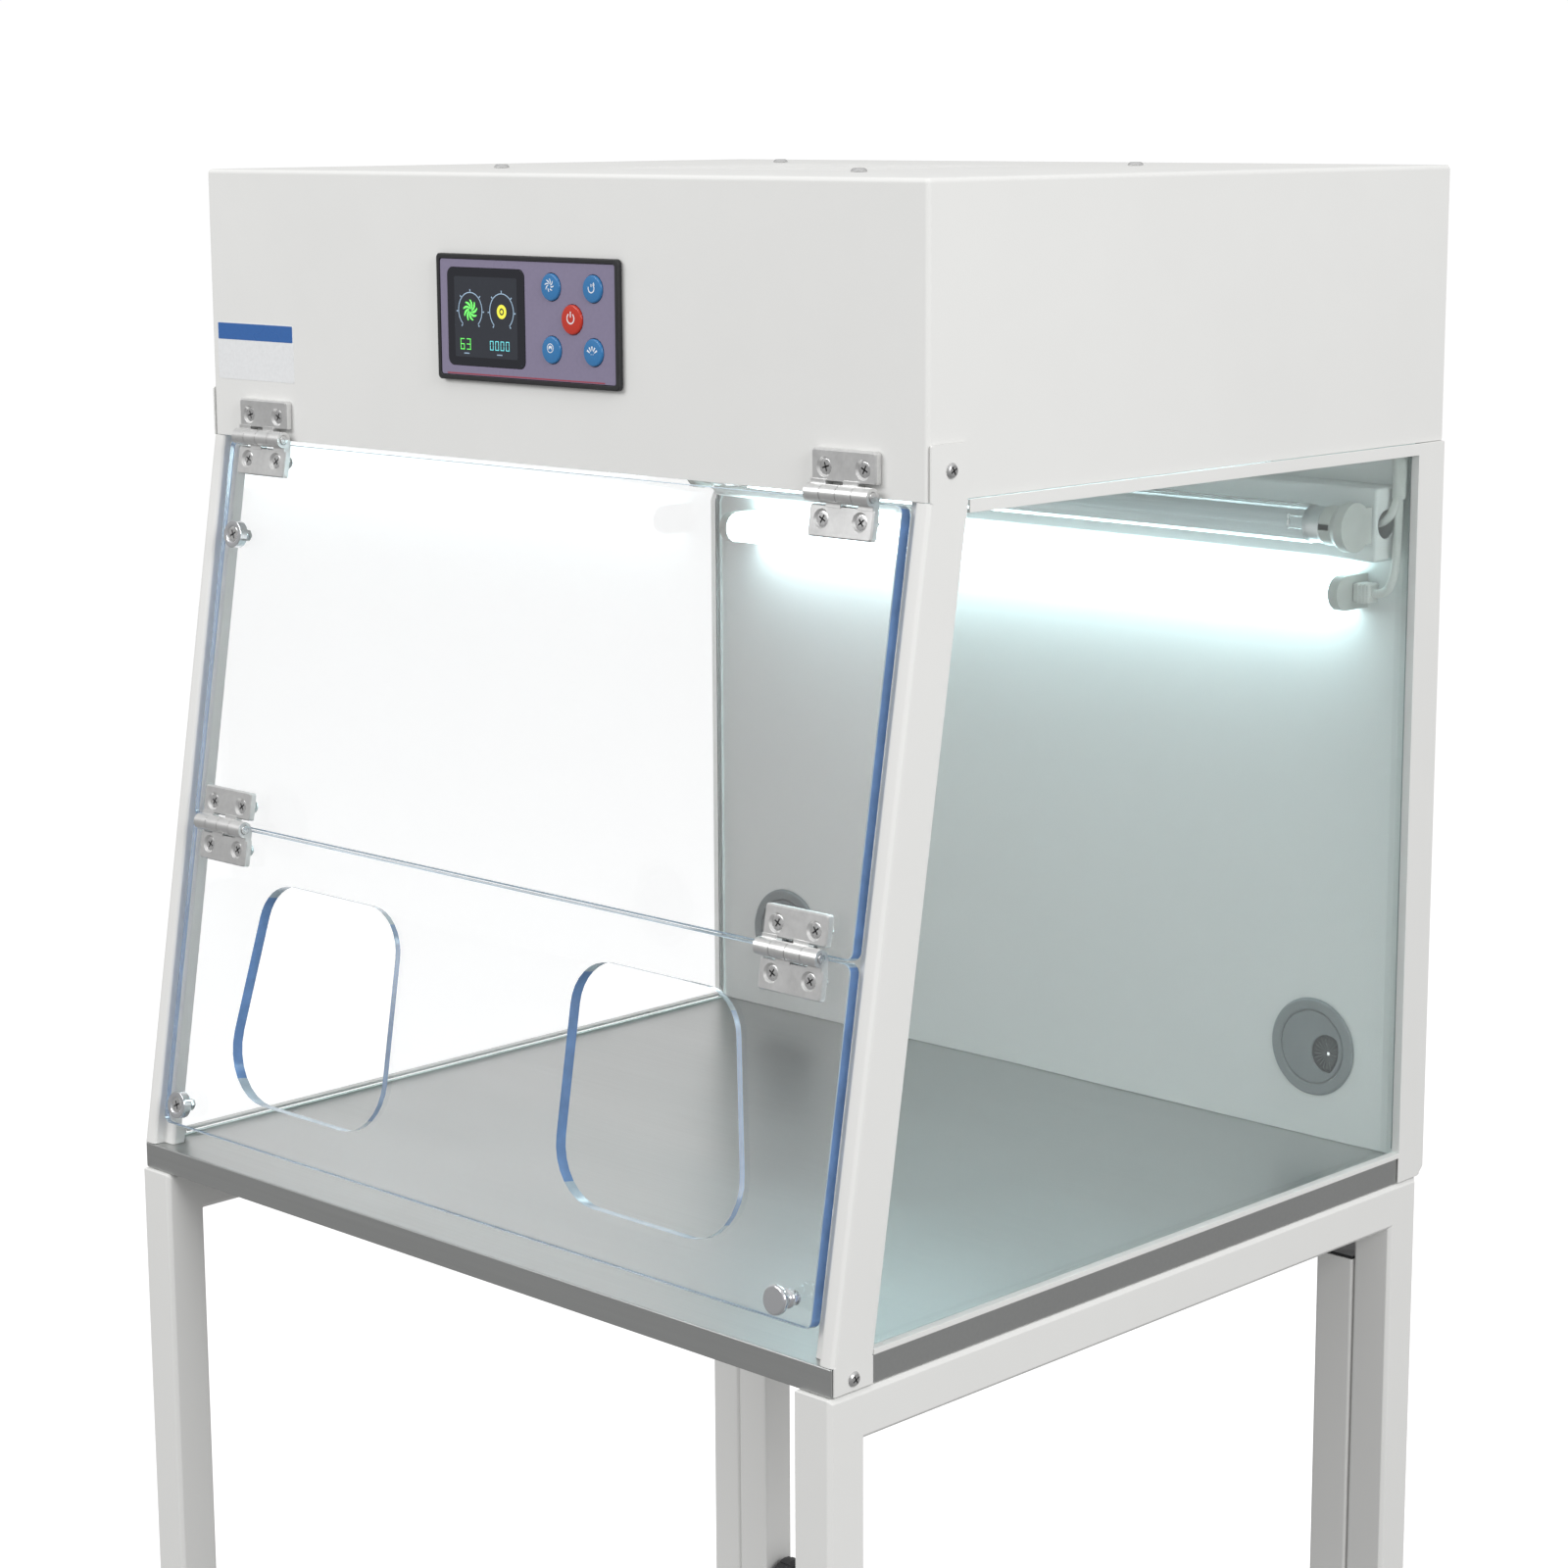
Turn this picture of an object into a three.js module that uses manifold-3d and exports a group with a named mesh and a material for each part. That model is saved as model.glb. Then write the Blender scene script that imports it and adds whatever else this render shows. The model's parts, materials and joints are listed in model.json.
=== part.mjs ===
// A small ventilated bench hood on a square-tube stand, in millimetres, +Z up, +X to its right,
// front facing -Y. Heights run from the floor; depths run from the fan housing's front face.
import * as THREE from 'three';
import { mergeVertices } from 'three/addons/utils/BufferGeometryUtils.js';
import { RoundedBoxGeometry } from 'three/addons/geometries/RoundedBoxGeometry.js';
import Module from 'manifold-3d';

const wasm = await Module();
wasm.setup();

// ---------------------------------------------------------------- driving dimensions
const GAP = 0.3; // clearance between pieces that touch
const SHEET = 1.2; // folded steel sheet

const STAND_TOP = 720;
const WORKTOP_THICK = 18;
const WORK = STAND_TOP + WORKTOP_THICK; // height of the working surface
const CHAMBER = 484; // working surface to the housing's underside
const ROOF = WORK + CHAMBER; // height of the housing's underside
const HOUSING = { halfWidth: 325.5, depth: 506, height: 178, wall: 1.5, edge: 3 };
const TOP = ROOF + HOUSING.height;

const FRONT_REACH = 80.5; // how far the sloped front comes forward at the worktop
const SLOPE = Math.atan(FRONT_REACH / CHAMBER);
const ORIGIN_DEPTH = 209.414; // depth of the middle of the whole object's footprint

const WORKTOP = { halfWidth: 326, front: -FRONT_REACH, back: 504.9, edge: 1, wall: 1.5 };
const SKIN_OUT = 327.5; // outer face of the side sheets
const SKIN_IN = SKIN_OUT - SHEET;

const POST = {
  depth: 33,
  bandInner: 315.5,
  flangeInner: 305,
  step: 8.6,
  returnDepth: 17,
  bend: 2.4,
  tabHeight: 32,
  tabFront: 0.6,
  tabBack: 31.2,
  footDrop: 16.6,
  footFront: -79,
  footBack: -47,
};
const WINDOW = { sill: 3.8, head: 476, back: 477.5, flange: 321.6 };
const REAR_POST = { back: 506.4, drop: 17, flangeInner: 306, chamfer: 6 };
const GLASS = { inner: 317.3, outer: 321.3, frontInset: 4, back: 481.7 };
const BACK_WALL = { halfWidth: 325.9, front: 482, back: 504.8 };

const DOOR = {
  halfWidth: 307.5,
  thick: 8,
  proud: 0.5,
  top: 2.5,
  seam: 261.45,
  seamGap: 1.5,
  bottom: 472.5,
  corner: 6,
};
const ARM_HOLE = {
  inner: 83,
  outerTop: 220,
  outerBottom: 248,
  top: 293,
  bottom: 442,
  topRadius: 30,
  bottomRadius: 38,
};

const HINGE = {
  x: 266,
  halfWidth: 25,
  reach: 25,
  plateStart: 6.2,
  thick: 4.7,
  axis: 7,
  barrel: 5.4,
  pin: 3,
  bore: 3.3,
  screwX: 15,
  screwZ: 14.6,
  sinkRadius: 6,
  screwRadius: 2.7,
  bevel: 0.9,
};
const MAGNET = { x: -287, s: 66, radius: 9.2, height: 6.5, sink: 6, bore: 2.7 };
const KNOB = { x: 288.5, s: 458 };

const PANEL = { x: -2.15, z: ROOF + 88.75, width: 166.6, height: 78.5, rim: 3, proud: 4, depth: 26 };
const DISPLAY = { x: -39.25, z: ROOF + 89.15, width: 72.5, height: 61, corner: 5 };
const BUTTON = { x: 40.2, z: ROOF + 90.8, dx: 18.7, dz: 19, radius: 8.4, powerRadius: 9.1, clearance: 0.35 };

const FAN = {
  y: 253,
  plateHalfX: 175,
  plateHalfY: 146,
  inlet: 82,
  motorLow: TOP - 117,
  wheelRadius: 100,
  wheelLow: TOP - 74,
  wheelHigh: TOP - 16,
};
const FAN_SCREWS = { x: 162, front: 120, back: 386, hole: 2.6, stud: 2.2, head: 5.2, headHeight: 2.2 };
const FILTER = { halfWidth: 285, front: 50, back: 470, height: 50 };

const BATTEN = { halfWidth: 306, front: 458, z: WORK + 430, height: 49, wall: 1.5, endHole: 9.5, holeY: 470 };
const LAMP = { y: 440, z: WORK + 430, half: 281, radius: 13, cap: 12.2, capLength: 13, pinGap: 12.7 };
const HOLDER = { collar: 291, end: 303, collarRadius: 13.2, endRadius: 16.5, cavity: 9, cavityDepth: 8.5 };
const LIGHT_BAR = { half: 284.5, front: 446, z: WORK + 383.5, height: 23 };
const CABLE = { x: 311.8, y: 475.2, radius: 3, sleeve: 4.7 };

const GROMMET = { x: 249, z: WORK + 64, flange: 34.2, hole: 30, barrel: 29.6, seat: 26, cap: 25.7 };
const TUBE = 30;
const TUBE_WALL = 1.8;
const STAND = { outer: 327.8, front: -83.3, back: 499.5, legBottom: 20, edge: 2.4 };
const BACK_FRAME = { outer: 297.5, low: 100, high: 661.5, rails: [104, 196] };
const HAND_KNOB = { z: 259, y: 484.5, radius: 16 };
const INLET = { x: -262, z: ROOF + 26 };

// ---------------------------------------------------------------- materials
function paint(color, roughness, metalness = 0) {
  return new THREE.MeshStandardMaterial({ color, roughness, metalness });
}

const WHITE_PAINT = paint(0xe4e4e2, 0.55);
const STEEL = paint(0x9c9d9d, 0.32, 1);
const ZINC = paint(0xb9babb, 0.38, 1);
const CHROME = paint(0xd8d8da, 0.08, 1);
const ALUMINIUM = paint(0xbfc2c2, 0.4, 1);
const ACRYLIC = paint(0xdfeaf6, 0.03);
const SIDE_GLASS = paint(0xd9ece6, 0.02);
const LAMP_GLASS = paint(0xeaf4f6, 0.02);
const GREY_PLASTIC = paint(0x8d9292, 0.5);
const PALE_PLASTIC = paint(0xc9c8c4, 0.5);
const BLACK_PLASTIC = paint(0x17171a, 0.45);
const OVERLAY = paint(0x8f88a0, 0.35);
const SCREEN = paint(0x101216, 0.12);
const BLUE_KEY = paint(0x3b7fb6, 0.3);
const RED_KEY = paint(0xc73a28, 0.3);
const DIFFUSER = paint(0xf4fafa, 0.5);
const CABLE_WHITE = paint(0xd8d6d2, 0.55);
const FILTER_MEDIA = paint(0xe9e7df, 0.9);

// ---------------------------------------------------------------- solid helpers
function solid(geometry) {
  const bare = geometry.clone();
  bare.deleteAttribute('normal');
  bare.deleteAttribute('uv');
  const merged = mergeVertices(bare, 1e-3);
  const made = new wasm.Manifold(
    new wasm.Mesh({
      numProp: 3,
      vertProperties: new Float32Array(merged.attributes.position.array),
      triVerts: new Uint32Array(merged.index.array),
    }),
  );
  if (made.volume() > 0) return made;
  return solid(turnedInsideOut(merged));
}

function turnedInsideOut(geometry) {
  const flipped = geometry.clone();
  const index = flipped.index.array;
  for (let i = 0; i < index.length; i += 3) {
    [index[i], index[i + 1]] = [index[i + 1], index[i]];
  }
  return flipped;
}

function geometryOf(shape) {
  const { vertProperties, triVerts } = shape.getMesh();
  const geometry = new THREE.BufferGeometry();
  geometry.setAttribute('position', new THREE.BufferAttribute(new Float32Array(vertProperties), 3));
  geometry.setIndex(new THREE.BufferAttribute(new Uint32Array(triVerts), 1));
  return geometry;
}

const joined = (first, ...rest) => rest.reduce((sum, next) => sum.add(next), first);
const cutBy = (body, ...tools) => tools.reduce((left, tool) => left.subtract(tool), body);

function mirrored(shape) {
  const geometry = geometryOf(shape);
  geometry.scale(-1, 1, 1);
  return solid(turnedInsideOut(geometry));
}

function block(x0, x1, y0, y1, z0, z1) {
  const geometry = new THREE.BoxGeometry(x1 - x0, y1 - y0, z1 - z0);
  geometry.translate((x0 + x1) / 2, (y0 + y1) / 2, (z0 + z1) / 2);
  return solid(geometry);
}

function softBlock(x0, x1, y0, y1, z0, z1, edge, steps = 1) {
  const geometry = new RoundedBoxGeometry(x1 - x0, y1 - y0, z1 - z0, steps, edge);
  geometry.translate((x0 + x1) / 2, (y0 + y1) / 2, (z0 + z1) / 2);
  return solid(geometry);
}

function outline(points) {
  return new THREE.Shape(points.map(([u, v]) => new THREE.Vector2(u, v)));
}

// A rectangle whose four corners are quarter circles.
function roundedRect(u0, u1, v0, v1, radius) {
  const shape = new THREE.Shape();
  shape.moveTo(u0 + radius, v0);
  shape.lineTo(u1 - radius, v0);
  shape.absarc(u1 - radius, v0 + radius, radius, -Math.PI / 2, 0, false);
  shape.absarc(u1 - radius, v1 - radius, radius, 0, Math.PI / 2, false);
  shape.absarc(u0 + radius, v1 - radius, radius, Math.PI / 2, Math.PI, false);
  shape.absarc(u0 + radius, v0 + radius, radius, Math.PI, 1.5 * Math.PI, false);
  return shape;
}

function extruded(shape, depth, curveSegments = 6, bevel = 0) {
  const bevelOptions = { bevelThickness: bevel, bevelSize: bevel, bevelOffset: -bevel, bevelSegments: 1 };
  const geometry = new THREE.ExtrudeGeometry(shape, {
    depth: depth - 2 * bevel,
    curveSegments,
    bevelEnabled: bevel > 0,
    ...bevelOptions,
  });
  return geometry.translate(0, 0, bevel);
}

// An outline drawn in (y, z), run from x0 to x1.
function alongX(shape, x0, x1, curveSegments, bevel) {
  const geometry = extruded(shape, x1 - x0, curveSegments, bevel);
  geometry.applyMatrix4(new THREE.Matrix4().set(0, 0, 1, x0, 1, 0, 0, 0, 0, 1, 0, 0, 0, 0, 0, 1));
  return solid(geometry);
}

// An outline drawn in (x, z), run from y0 to y1.
function alongY(shape, y0, y1, curveSegments, bevel) {
  const geometry = extruded(shape, y1 - y0, curveSegments, bevel);
  return solid(geometry.rotateX(Math.PI / 2).translate(0, y1, 0));
}

// An outline drawn in (x, y), run from z0 to z1.
function alongZ(shape, z0, z1, curveSegments, bevel) {
  return solid(extruded(shape, z1 - z0, curveSegments, bevel).translate(0, 0, z0));
}

// A turned piece: pairs of radius and height, about +Z.
function turned(profile, segments = 24) {
  const closed = [...profile, profile[0]];
  const geometry = new THREE.LatheGeometry(
    closed.map(([radius, height]) => new THREE.Vector2(radius, height)),
    segments,
  );
  return geometry.rotateX(Math.PI / 2);
}

const turnedZ = (profile, x, y, segments) => solid(turned(profile, segments).translate(x, y, 0));
const turnedX = (profile, y, z, segments) =>
  solid(turned(profile, segments).rotateY(Math.PI / 2).translate(0, y, z));
// Heights in the profile run towards -Y, out of the front.
const turnedFront = (profile, x, z, segments) =>
  solid(turned(profile, segments).rotateX(Math.PI / 2).translate(x, 0, z));

const rod = (radius, low, high) => [
  [0, low],
  [radius, low],
  [radius, high],
  [0, high],
];

// A closed strip of bent sheet: a centre line with each corner rounded, thickened to both sides.
function foldedSheet(path, thickness, bend, steps = 3) {
  const line = [];
  path.forEach(([u, v], i) => {
    const here = new THREE.Vector2(u, v);
    const before = i > 0 ? new THREE.Vector2(...path[i - 1]) : null;
    const after = i < path.length - 1 ? new THREE.Vector2(...path[i + 1]) : null;
    const arriving = before ? here.clone().sub(before).normalize() : after.clone().sub(here).normalize();
    const leaving = after ? after.clone().sub(here).normalize() : arriving;
    const normal = new THREE.Vector2(-arriving.y, arriving.x);
    const turn = Math.atan2(arriving.cross(leaving), arriving.dot(leaving));
    if (Math.abs(turn) < 1e-6) {
      line.push({ point: here, normal });
      return;
    }
    const side = Math.sign(turn);
    const trim = bend * Math.tan(Math.abs(turn) / 2);
    const centre = here.clone().addScaledVector(arriving, -trim).addScaledVector(normal, side * bend);
    for (let k = 0; k <= steps; k += 1) {
      const spoke = normal.clone().rotateAround(new THREE.Vector2(), (turn * k) / steps);
      line.push({ point: centre.clone().addScaledVector(spoke, -side * bend), normal: spoke });
    }
  });
  const half = thickness / 2;
  const edge = (sign) => line.map(({ point, normal }) => point.clone().addScaledVector(normal, sign * half));
  return new THREE.Shape([...edge(1), ...edge(-1).reverse()]);
}

// A tube of constant section swept along a smooth curve through points.
function swept(points, radius, sides, steps) {
  const path = new THREE.CatmullRomCurve3(points.map((p) => new THREE.Vector3(...p)));
  const section = new THREE.Shape();
  section.absarc(0, 0, radius, 0, 2 * Math.PI, false);
  const options = { steps, curveSegments: sides / 2, bevelEnabled: false, extrudePath: path };
  return solid(new THREE.ExtrudeGeometry(section, options));
}

// ---------------------------------------------------------------- scene graph
const hood = new THREE.Group();
hood.position.y = -ORIGIN_DEPTH;

// Everything on the sloped front is drawn flat here: x to the right, z up the slope from the roof
// line, y into the hood from the front plane.
const slope = new THREE.Group();
slope.position.z = ROOF;
slope.rotation.x = -SLOPE;
hood.add(slope);

function piece(name, shape, material, parent = hood) {
  const mesh = new THREE.Mesh(geometryOf(shape), material);
  mesh.name = name;
  parent.add(mesh);
  return mesh;
}

const frontAt = (z) => ((z - ROOF) * FRONT_REACH) / CHAMBER; // depth of the sloped front at a height

// ---------------------------------------------------------------- fan housing
const slot = (x0, x1, y0, y1, z0, z1) => alongZ(roundedRect(x0, x1, y0, y1, (y1 - y0) / 2.2), z0, z1, 1);

const fanScrews = [-FAN_SCREWS.x, FAN_SCREWS.x].flatMap((x) => [
  [x, FAN_SCREWS.front],
  [x, FAN_SCREWS.back],
]);

function housingShell() {
  const { halfWidth, depth, height, wall, edge } = HOUSING;
  const outer = softBlock(-halfWidth, halfWidth, 0, depth + 2 * edge, ROOF - 2 * edge, TOP, edge, 2);
  const lip = 14;
  const inside = halfWidth - wall;
  let shell = cutBy(
    outer,
    block(-halfWidth - 1, halfWidth + 1, depth, depth + 20, ROOF - 20, TOP + 1),
    block(-halfWidth - 1, halfWidth + 1, -1, depth + 1, ROOF - 20, ROOF),
    block(-inside, inside, wall, depth + 1, ROOF + wall, TOP - wall),
    block(-inside + lip, inside - lip, wall + lip, depth + 1, ROOF - 1, ROOF + height / 2),
  );
  shell = shell.subtract(alongY(panelOpening(0.5), -2, 10, 3));
  for (const [x, y] of fanScrews) {
    shell = shell.subtract(turnedZ(rod(FAN_SCREWS.hole, TOP - 5, TOP + 1), x, y, 12));
  }
  for (let row = 0; row < 9; row += 1) {
    for (const x of [-56, 56]) {
      const y = FAN.y - 88 + row * 22;
      shell = shell.subtract(slot(x - 50, x + 50, y - 2.5, y + 2.5, TOP - 4, TOP + 2));
    }
  }
  return shell;
}

function panelOpening(clearance) {
  const halfX = PANEL.width / 2 - 6 + clearance;
  const halfZ = PANEL.height / 2 - 6 + clearance;
  return roundedRect(PANEL.x - halfX, PANEL.x + halfX, PANEL.z - halfZ, PANEL.z + halfZ, 3);
}

function rearCover() {
  const inside = HOUSING.halfWidth - HOUSING.wall - GAP;
  const { depth, wall } = HOUSING;
  let cover = block(-inside, inside, depth - wall, depth, ROOF + wall + GAP, TOP - wall - GAP);
  for (let row = 0; row < 5; row += 1) {
    for (const x of [50, 170]) {
      const z = ROOF + 62 + row * 14;
      cover = cover.subtract(block(x - 54, x + 54, depth - 5, depth + 3, z - 2.2, z + 2.2));
    }
  }
  const socket = roundedRect(INLET.x - 14.3, INLET.x + 14.3, INLET.z - 10.8, INLET.z + 10.8, 2);
  return cover.subtract(alongY(socket, depth - 16, depth + 14, 2));
}

function powerInlet() {
  const { x, z } = INLET;
  const back = HOUSING.depth + GAP;
  const flange = alongY(roundedRect(x - 24, x + 24, z - 14.5, z + 14.5, 4), back, back + 2.4, 3, 0.4);
  const body = alongY(roundedRect(x - 13.9, x + 13.9, z - 10.4, z + 10.4, 2), back - 20, back + 1, 2);
  const recess = alongY(roundedRect(x - 12, x + 12, z - 8.2, z + 8.2, 2.5), back - 14, back + 5, 3);
  const blades = [-7, 0, 7].map((dx) => {
    const dz = dx === 0 ? 3 : -1;
    return block(x + dx - 1, x + dx + 1, back - 15, back + 0.5, z + dz - 2, z + dz + 2);
  });
  return joined(cutBy(joined(flange, body), recess), ...blades);
}

function ceilingPanel() {
  const inside = HOUSING.halfWidth - HOUSING.wall - GAP;
  const low = ROOF + HOUSING.wall + GAP;
  const margin = HOUSING.wall + GAP;
  let panel = block(-inside, inside, margin, HOUSING.depth - margin, low, low + SHEET);
  for (let row = 0; row < 10; row += 1) {
    for (const x of [-136, 136]) {
      const y = 84 + row * 36;
      panel = panel.subtract(block(x - 126, x + 126, y - 7, y + 7, low - 2, low + 4));
    }
  }
  return panel;
}

function filterCartridge() {
  const low = ROOF + HOUSING.wall + GAP + SHEET + GAP;
  const { halfWidth, front, back, height } = FILTER;
  const frame = 16;
  const body = block(-halfWidth, halfWidth, front, back, low, low + height);
  const inside = halfWidth - frame;
  const recess = (z0, z1) => block(-inside, inside, front + frame, back - frame, z0, z1);
  return cutBy(body, recess(low + height - 4, low + height + 1), recess(low - 1, low + 4));
}

// The plate that carries the fan, hung from four dome screws in the housing's top.
function fanPlate() {
  const high = TOP - HOUSING.wall - GAP;
  const { y, plateHalfX, plateHalfY, inlet } = FAN;
  const plate = block(-plateHalfX, plateHalfX, y - plateHalfY, y + plateHalfY, high - 2, high);
  const collar = turnedZ(rod(inlet + 2, high - 9, high - 1), 0, y, 28);
  const mouth = turnedZ(rod(inlet, high - 20, high + 1), 0, y, 28);
  const { stud, head, headHeight } = FAN_SCREWS;
  const seat = TOP + GAP;
  const screw = [
    [0, high - 1],
    [stud, high - 1],
    [stud, seat],
    [head, seat],
    [head * 0.92, seat + headHeight * 0.55],
    [head * 0.6, seat + headHeight],
    [0, seat + headHeight],
  ];
  const screws = fanScrews.map(([x, y]) => turnedZ(screw, x, y, 16));
  return joined(plate, collar, ...screws).subtract(mouth);
}

function fanMotor() {
  const { y, motorLow: low } = FAN;
  const topOfLegs = TOP - HOUSING.wall - GAP - 2 - GAP;
  const body = turnedZ(
    [
      [0, low],
      [44, low],
      [48, low + 4],
      [48, low + 28],
      [40, low + 33],
      [0, low + 33],
    ],
    0,
    y,
    24,
  );
  const shaft = turnedZ(rod(4, low + 30, FAN.wheelLow + 18), 0, y, 12);
  const legs = [];
  for (const sx of [-1, 1]) {
    for (const sy of [-1, 1]) {
      legs.push(turnedZ(rod(4, low, topOfLegs), sx * 88, y + sy * 88, 8));
    }
  }
  const arm = block(-130, 130, -6, 6, low, low + 3);
  const arms = [45, 135].map((angle) => arm.rotate([0, 0, angle]).translate([0, y, 0]));
  return joined(body, shaft, ...legs, ...arms);
}

function impeller() {
  const { y, wheelRadius, wheelLow, wheelHigh } = FAN;
  const hub = turned([
    [4.3, wheelLow],
    [wheelRadius, wheelLow],
    [wheelRadius, wheelLow + 2],
    [46, wheelLow + 2],
    [22, wheelLow + 26],
    [4.3, wheelLow + 28],
  ], 24);
  const shroud = turned([
    [64, wheelHigh],
    [wheelRadius, wheelHigh - 12],
    [wheelRadius, wheelHigh - 10],
    [64, wheelHigh + 2],
  ], 24);
  const blades = [];
  const count = 9;
  for (let i = 0; i < count; i += 1) {
    const strip = [];
    for (const radius of [50, 66, 82, 98]) {
      const sweep = (2 * Math.PI * i) / count - (radius - 50) * 0.016;
      strip.push([radius * Math.cos(sweep), radius * Math.sin(sweep)]);
    }
    blades.push(alongZ(foldedSheet(strip, 1.6, 30, 1), wheelLow + 1, wheelHigh - 9));
  }
  return joined(solid(hub), solid(shroud), ...blades).translate([0, y, 0]);
}

piece('housing_shell', housingShell(), WHITE_PAINT);
piece('rear_cover', rearCover(), WHITE_PAINT);
piece('power_inlet', powerInlet(), BLACK_PLASTIC);
piece('ceiling_panel', ceilingPanel(), WHITE_PAINT);
piece('filter_cartridge', filterCartridge(), FILTER_MEDIA);
piece('fan_plate', fanPlate(), ALUMINIUM);
piece('fan_motor', fanMotor(), BLACK_PLASTIC);
piece('fan_impeller', impeller(), GREY_PLASTIC);

// ---------------------------------------------------------------- control panel
const KEYS = [
  { name: 'fan_button', dx: -1, dz: 1, material: BLUE_KEY },
  { name: 'timer_button', dx: 1, dz: 1, material: BLUE_KEY },
  { name: 'power_button', dx: 0, dz: 0, material: RED_KEY },
  { name: 'uv_button', dx: -1, dz: -1, material: BLUE_KEY },
  { name: 'light_button', dx: 1, dz: -1, material: BLUE_KEY },
];
const keyRadius = (key) => (key.dx === 0 ? BUTTON.powerRadius : BUTTON.radius);
const keyPlace = (key) => [BUTTON.x + key.dx * BUTTON.dx, 0, BUTTON.z + key.dz * BUTTON.dz];

function panelRect(inset, radius) {
  const halfX = PANEL.width / 2 - inset;
  const halfZ = PANEL.height / 2 - inset;
  return roundedRect(PANEL.x - halfX, PANEL.x + halfX, PANEL.z - halfZ, PANEL.z + halfZ, radius);
}

function displayRect(inset) {
  const halfX = DISPLAY.width / 2 - inset;
  const halfZ = DISPLAY.height / 2 - inset;
  const radius = DISPLAY.corner - inset;
  return roundedRect(DISPLAY.x - halfX, DISPLAY.x + halfX, DISPLAY.z - halfZ, DISPLAY.z + halfZ, radius);
}

const POCKET_FLOOR = 2.6; // depth of the pocket behind the bezel's front face

function controlHousing() {
  const bezel = alongY(panelRect(0, 3), -PANEL.proud, -GAP, 3, 0.5);
  const box = alongY(panelOpening(0), -1, PANEL.depth, 3);
  const pocket = alongY(panelRect(PANEL.rim, 2), -PANEL.proud - 1, -PANEL.proud + POCKET_FLOOR, 3);
  return joined(bezel, box).subtract(pocket);
}

function controlOverlay() {
  const front = -PANEL.proud + 0.6;
  const back = -PANEL.proud + POCKET_FLOOR - GAP;
  let plate = alongY(panelRect(PANEL.rim + GAP, 1.7), front, back, 3);
  plate = plate.subtract(alongY(displayRect(0), front - 1, back + 1, 4));
  for (const key of KEYS) {
    const hole = turnedFront(rod(keyRadius(key) + BUTTON.clearance, -5, 5), 0, 0, 18);
    plate = plate.subtract(hole.translate(keyPlace(key)));
  }
  return plate;
}

function keyCap(key) {
  const radius = keyRadius(key);
  const cap = turnedFront(
    [
      [0, 2.4],
      [radius, 2.4],
      [radius, 4.2],
      [radius - 0.9, 4.85],
      [radius * 0.5, 5.1],
      [0, 5.2],
    ],
    0,
    0,
    18,
  );
  return cap.translate(keyPlace(key));
}

piece('control_housing', controlHousing(), BLACK_PLASTIC);
piece('control_overlay', controlOverlay(), OVERLAY);
const lensBack = -PANEL.proud + POCKET_FLOOR - GAP;
piece('display_lens', alongY(displayRect(GAP), -PANEL.proud + 0.4, lensBack, 4), SCREEN);
for (const key of KEYS) {
  piece(key.name, keyCap(key), key.material);
}

// ---------------------------------------------------------------- chamber
function frontPost() {
  const { depth, bandInner, flangeInner, step, returnDepth, bend, tabHeight } = POST;
  const half = SHEET / 2;
  const section = foldedSheet(
    [
      [flangeInner + half, returnDepth],
      [flangeInner + half, step],
      [bandInner + half, step],
      [bandInner + half, half],
      [SKIN_OUT - half, half],
      [SKIN_OUT - half, depth / 2],
    ],
    SHEET,
    bend,
  );
  const low = WORK + GAP;
  const high = ROOF - GAP;
  const length = high - low;
  const bar = extruded(section, length, 3);
  const rake = FRONT_REACH / CHAMBER;
  const lean = new THREE.Matrix4().set(1, 0, 0, 0, 0, 1, rake, frontAt(low), 0, 0, 1, low, 0, 0, 0, 1);
  const front = solid(bar.applyMatrix4(lean));
  const shy = bend + half; // keeps the flat side behind the rounded front edge
  const side = outline([
    [POST.footFront, WORK - POST.footDrop],
    [POST.footBack, WORK - POST.footDrop],
    [POST.footBack, low],
    [frontAt(low) + depth, low],
    [frontAt(high) + depth - 1, high],
    [POST.tabBack, high],
    [POST.tabBack, ROOF + tabHeight - 1],
    [POST.tabBack - 1, ROOF + tabHeight],
    [POST.tabFront + 1, ROOF + tabHeight],
    [POST.tabFront, ROOF + tabHeight - 1],
    [POST.tabFront, ROOF],
    [frontAt(high) + shy, high - 1],
    [frontAt(low) + shy, low + 1],
    [POST.footFront, low],
  ]);
  return joined(front, alongX(side, SKIN_IN, SKIN_OUT));
}

function sideFrame() {
  const rearLow = WORK - REAR_POST.drop;
  const high = ROOF - GAP;
  const sillStart = frontAt(WORK) + POST.depth + 1.2;
  const headStart = POST.depth + 0.4;
  const { back: rearBack, chamfer } = REAR_POST;
  const rear = outline([
    [WINDOW.back, rearLow],
    [rearBack - chamfer, rearLow],
    [rearBack, rearLow + chamfer],
    [rearBack, high],
    [WINDOW.back, high],
  ]);
  const sill = WORK + WINDOW.sill;
  const head = WORK + WINDOW.head;
  const { flange, back } = WINDOW;
  return joined(
    alongX(rear, SKIN_IN, SKIN_OUT),
    block(flange, SKIN_OUT, back, back + SHEET, sill - SHEET, head + SHEET),
    block(REAR_POST.flangeInner, SKIN_OUT, rearBack - SHEET, rearBack, rearLow + chamfer, high),
    block(SKIN_IN, SKIN_OUT, sillStart, back + 2, WORK + GAP, sill),
    block(flange, SKIN_OUT, sillStart, back + 1, sill - SHEET, sill),
    block(SKIN_IN, SKIN_OUT, headStart, back + 2, head, high),
    block(flange, SKIN_OUT, headStart, back + 1, head, head + SHEET),
  );
}

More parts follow.
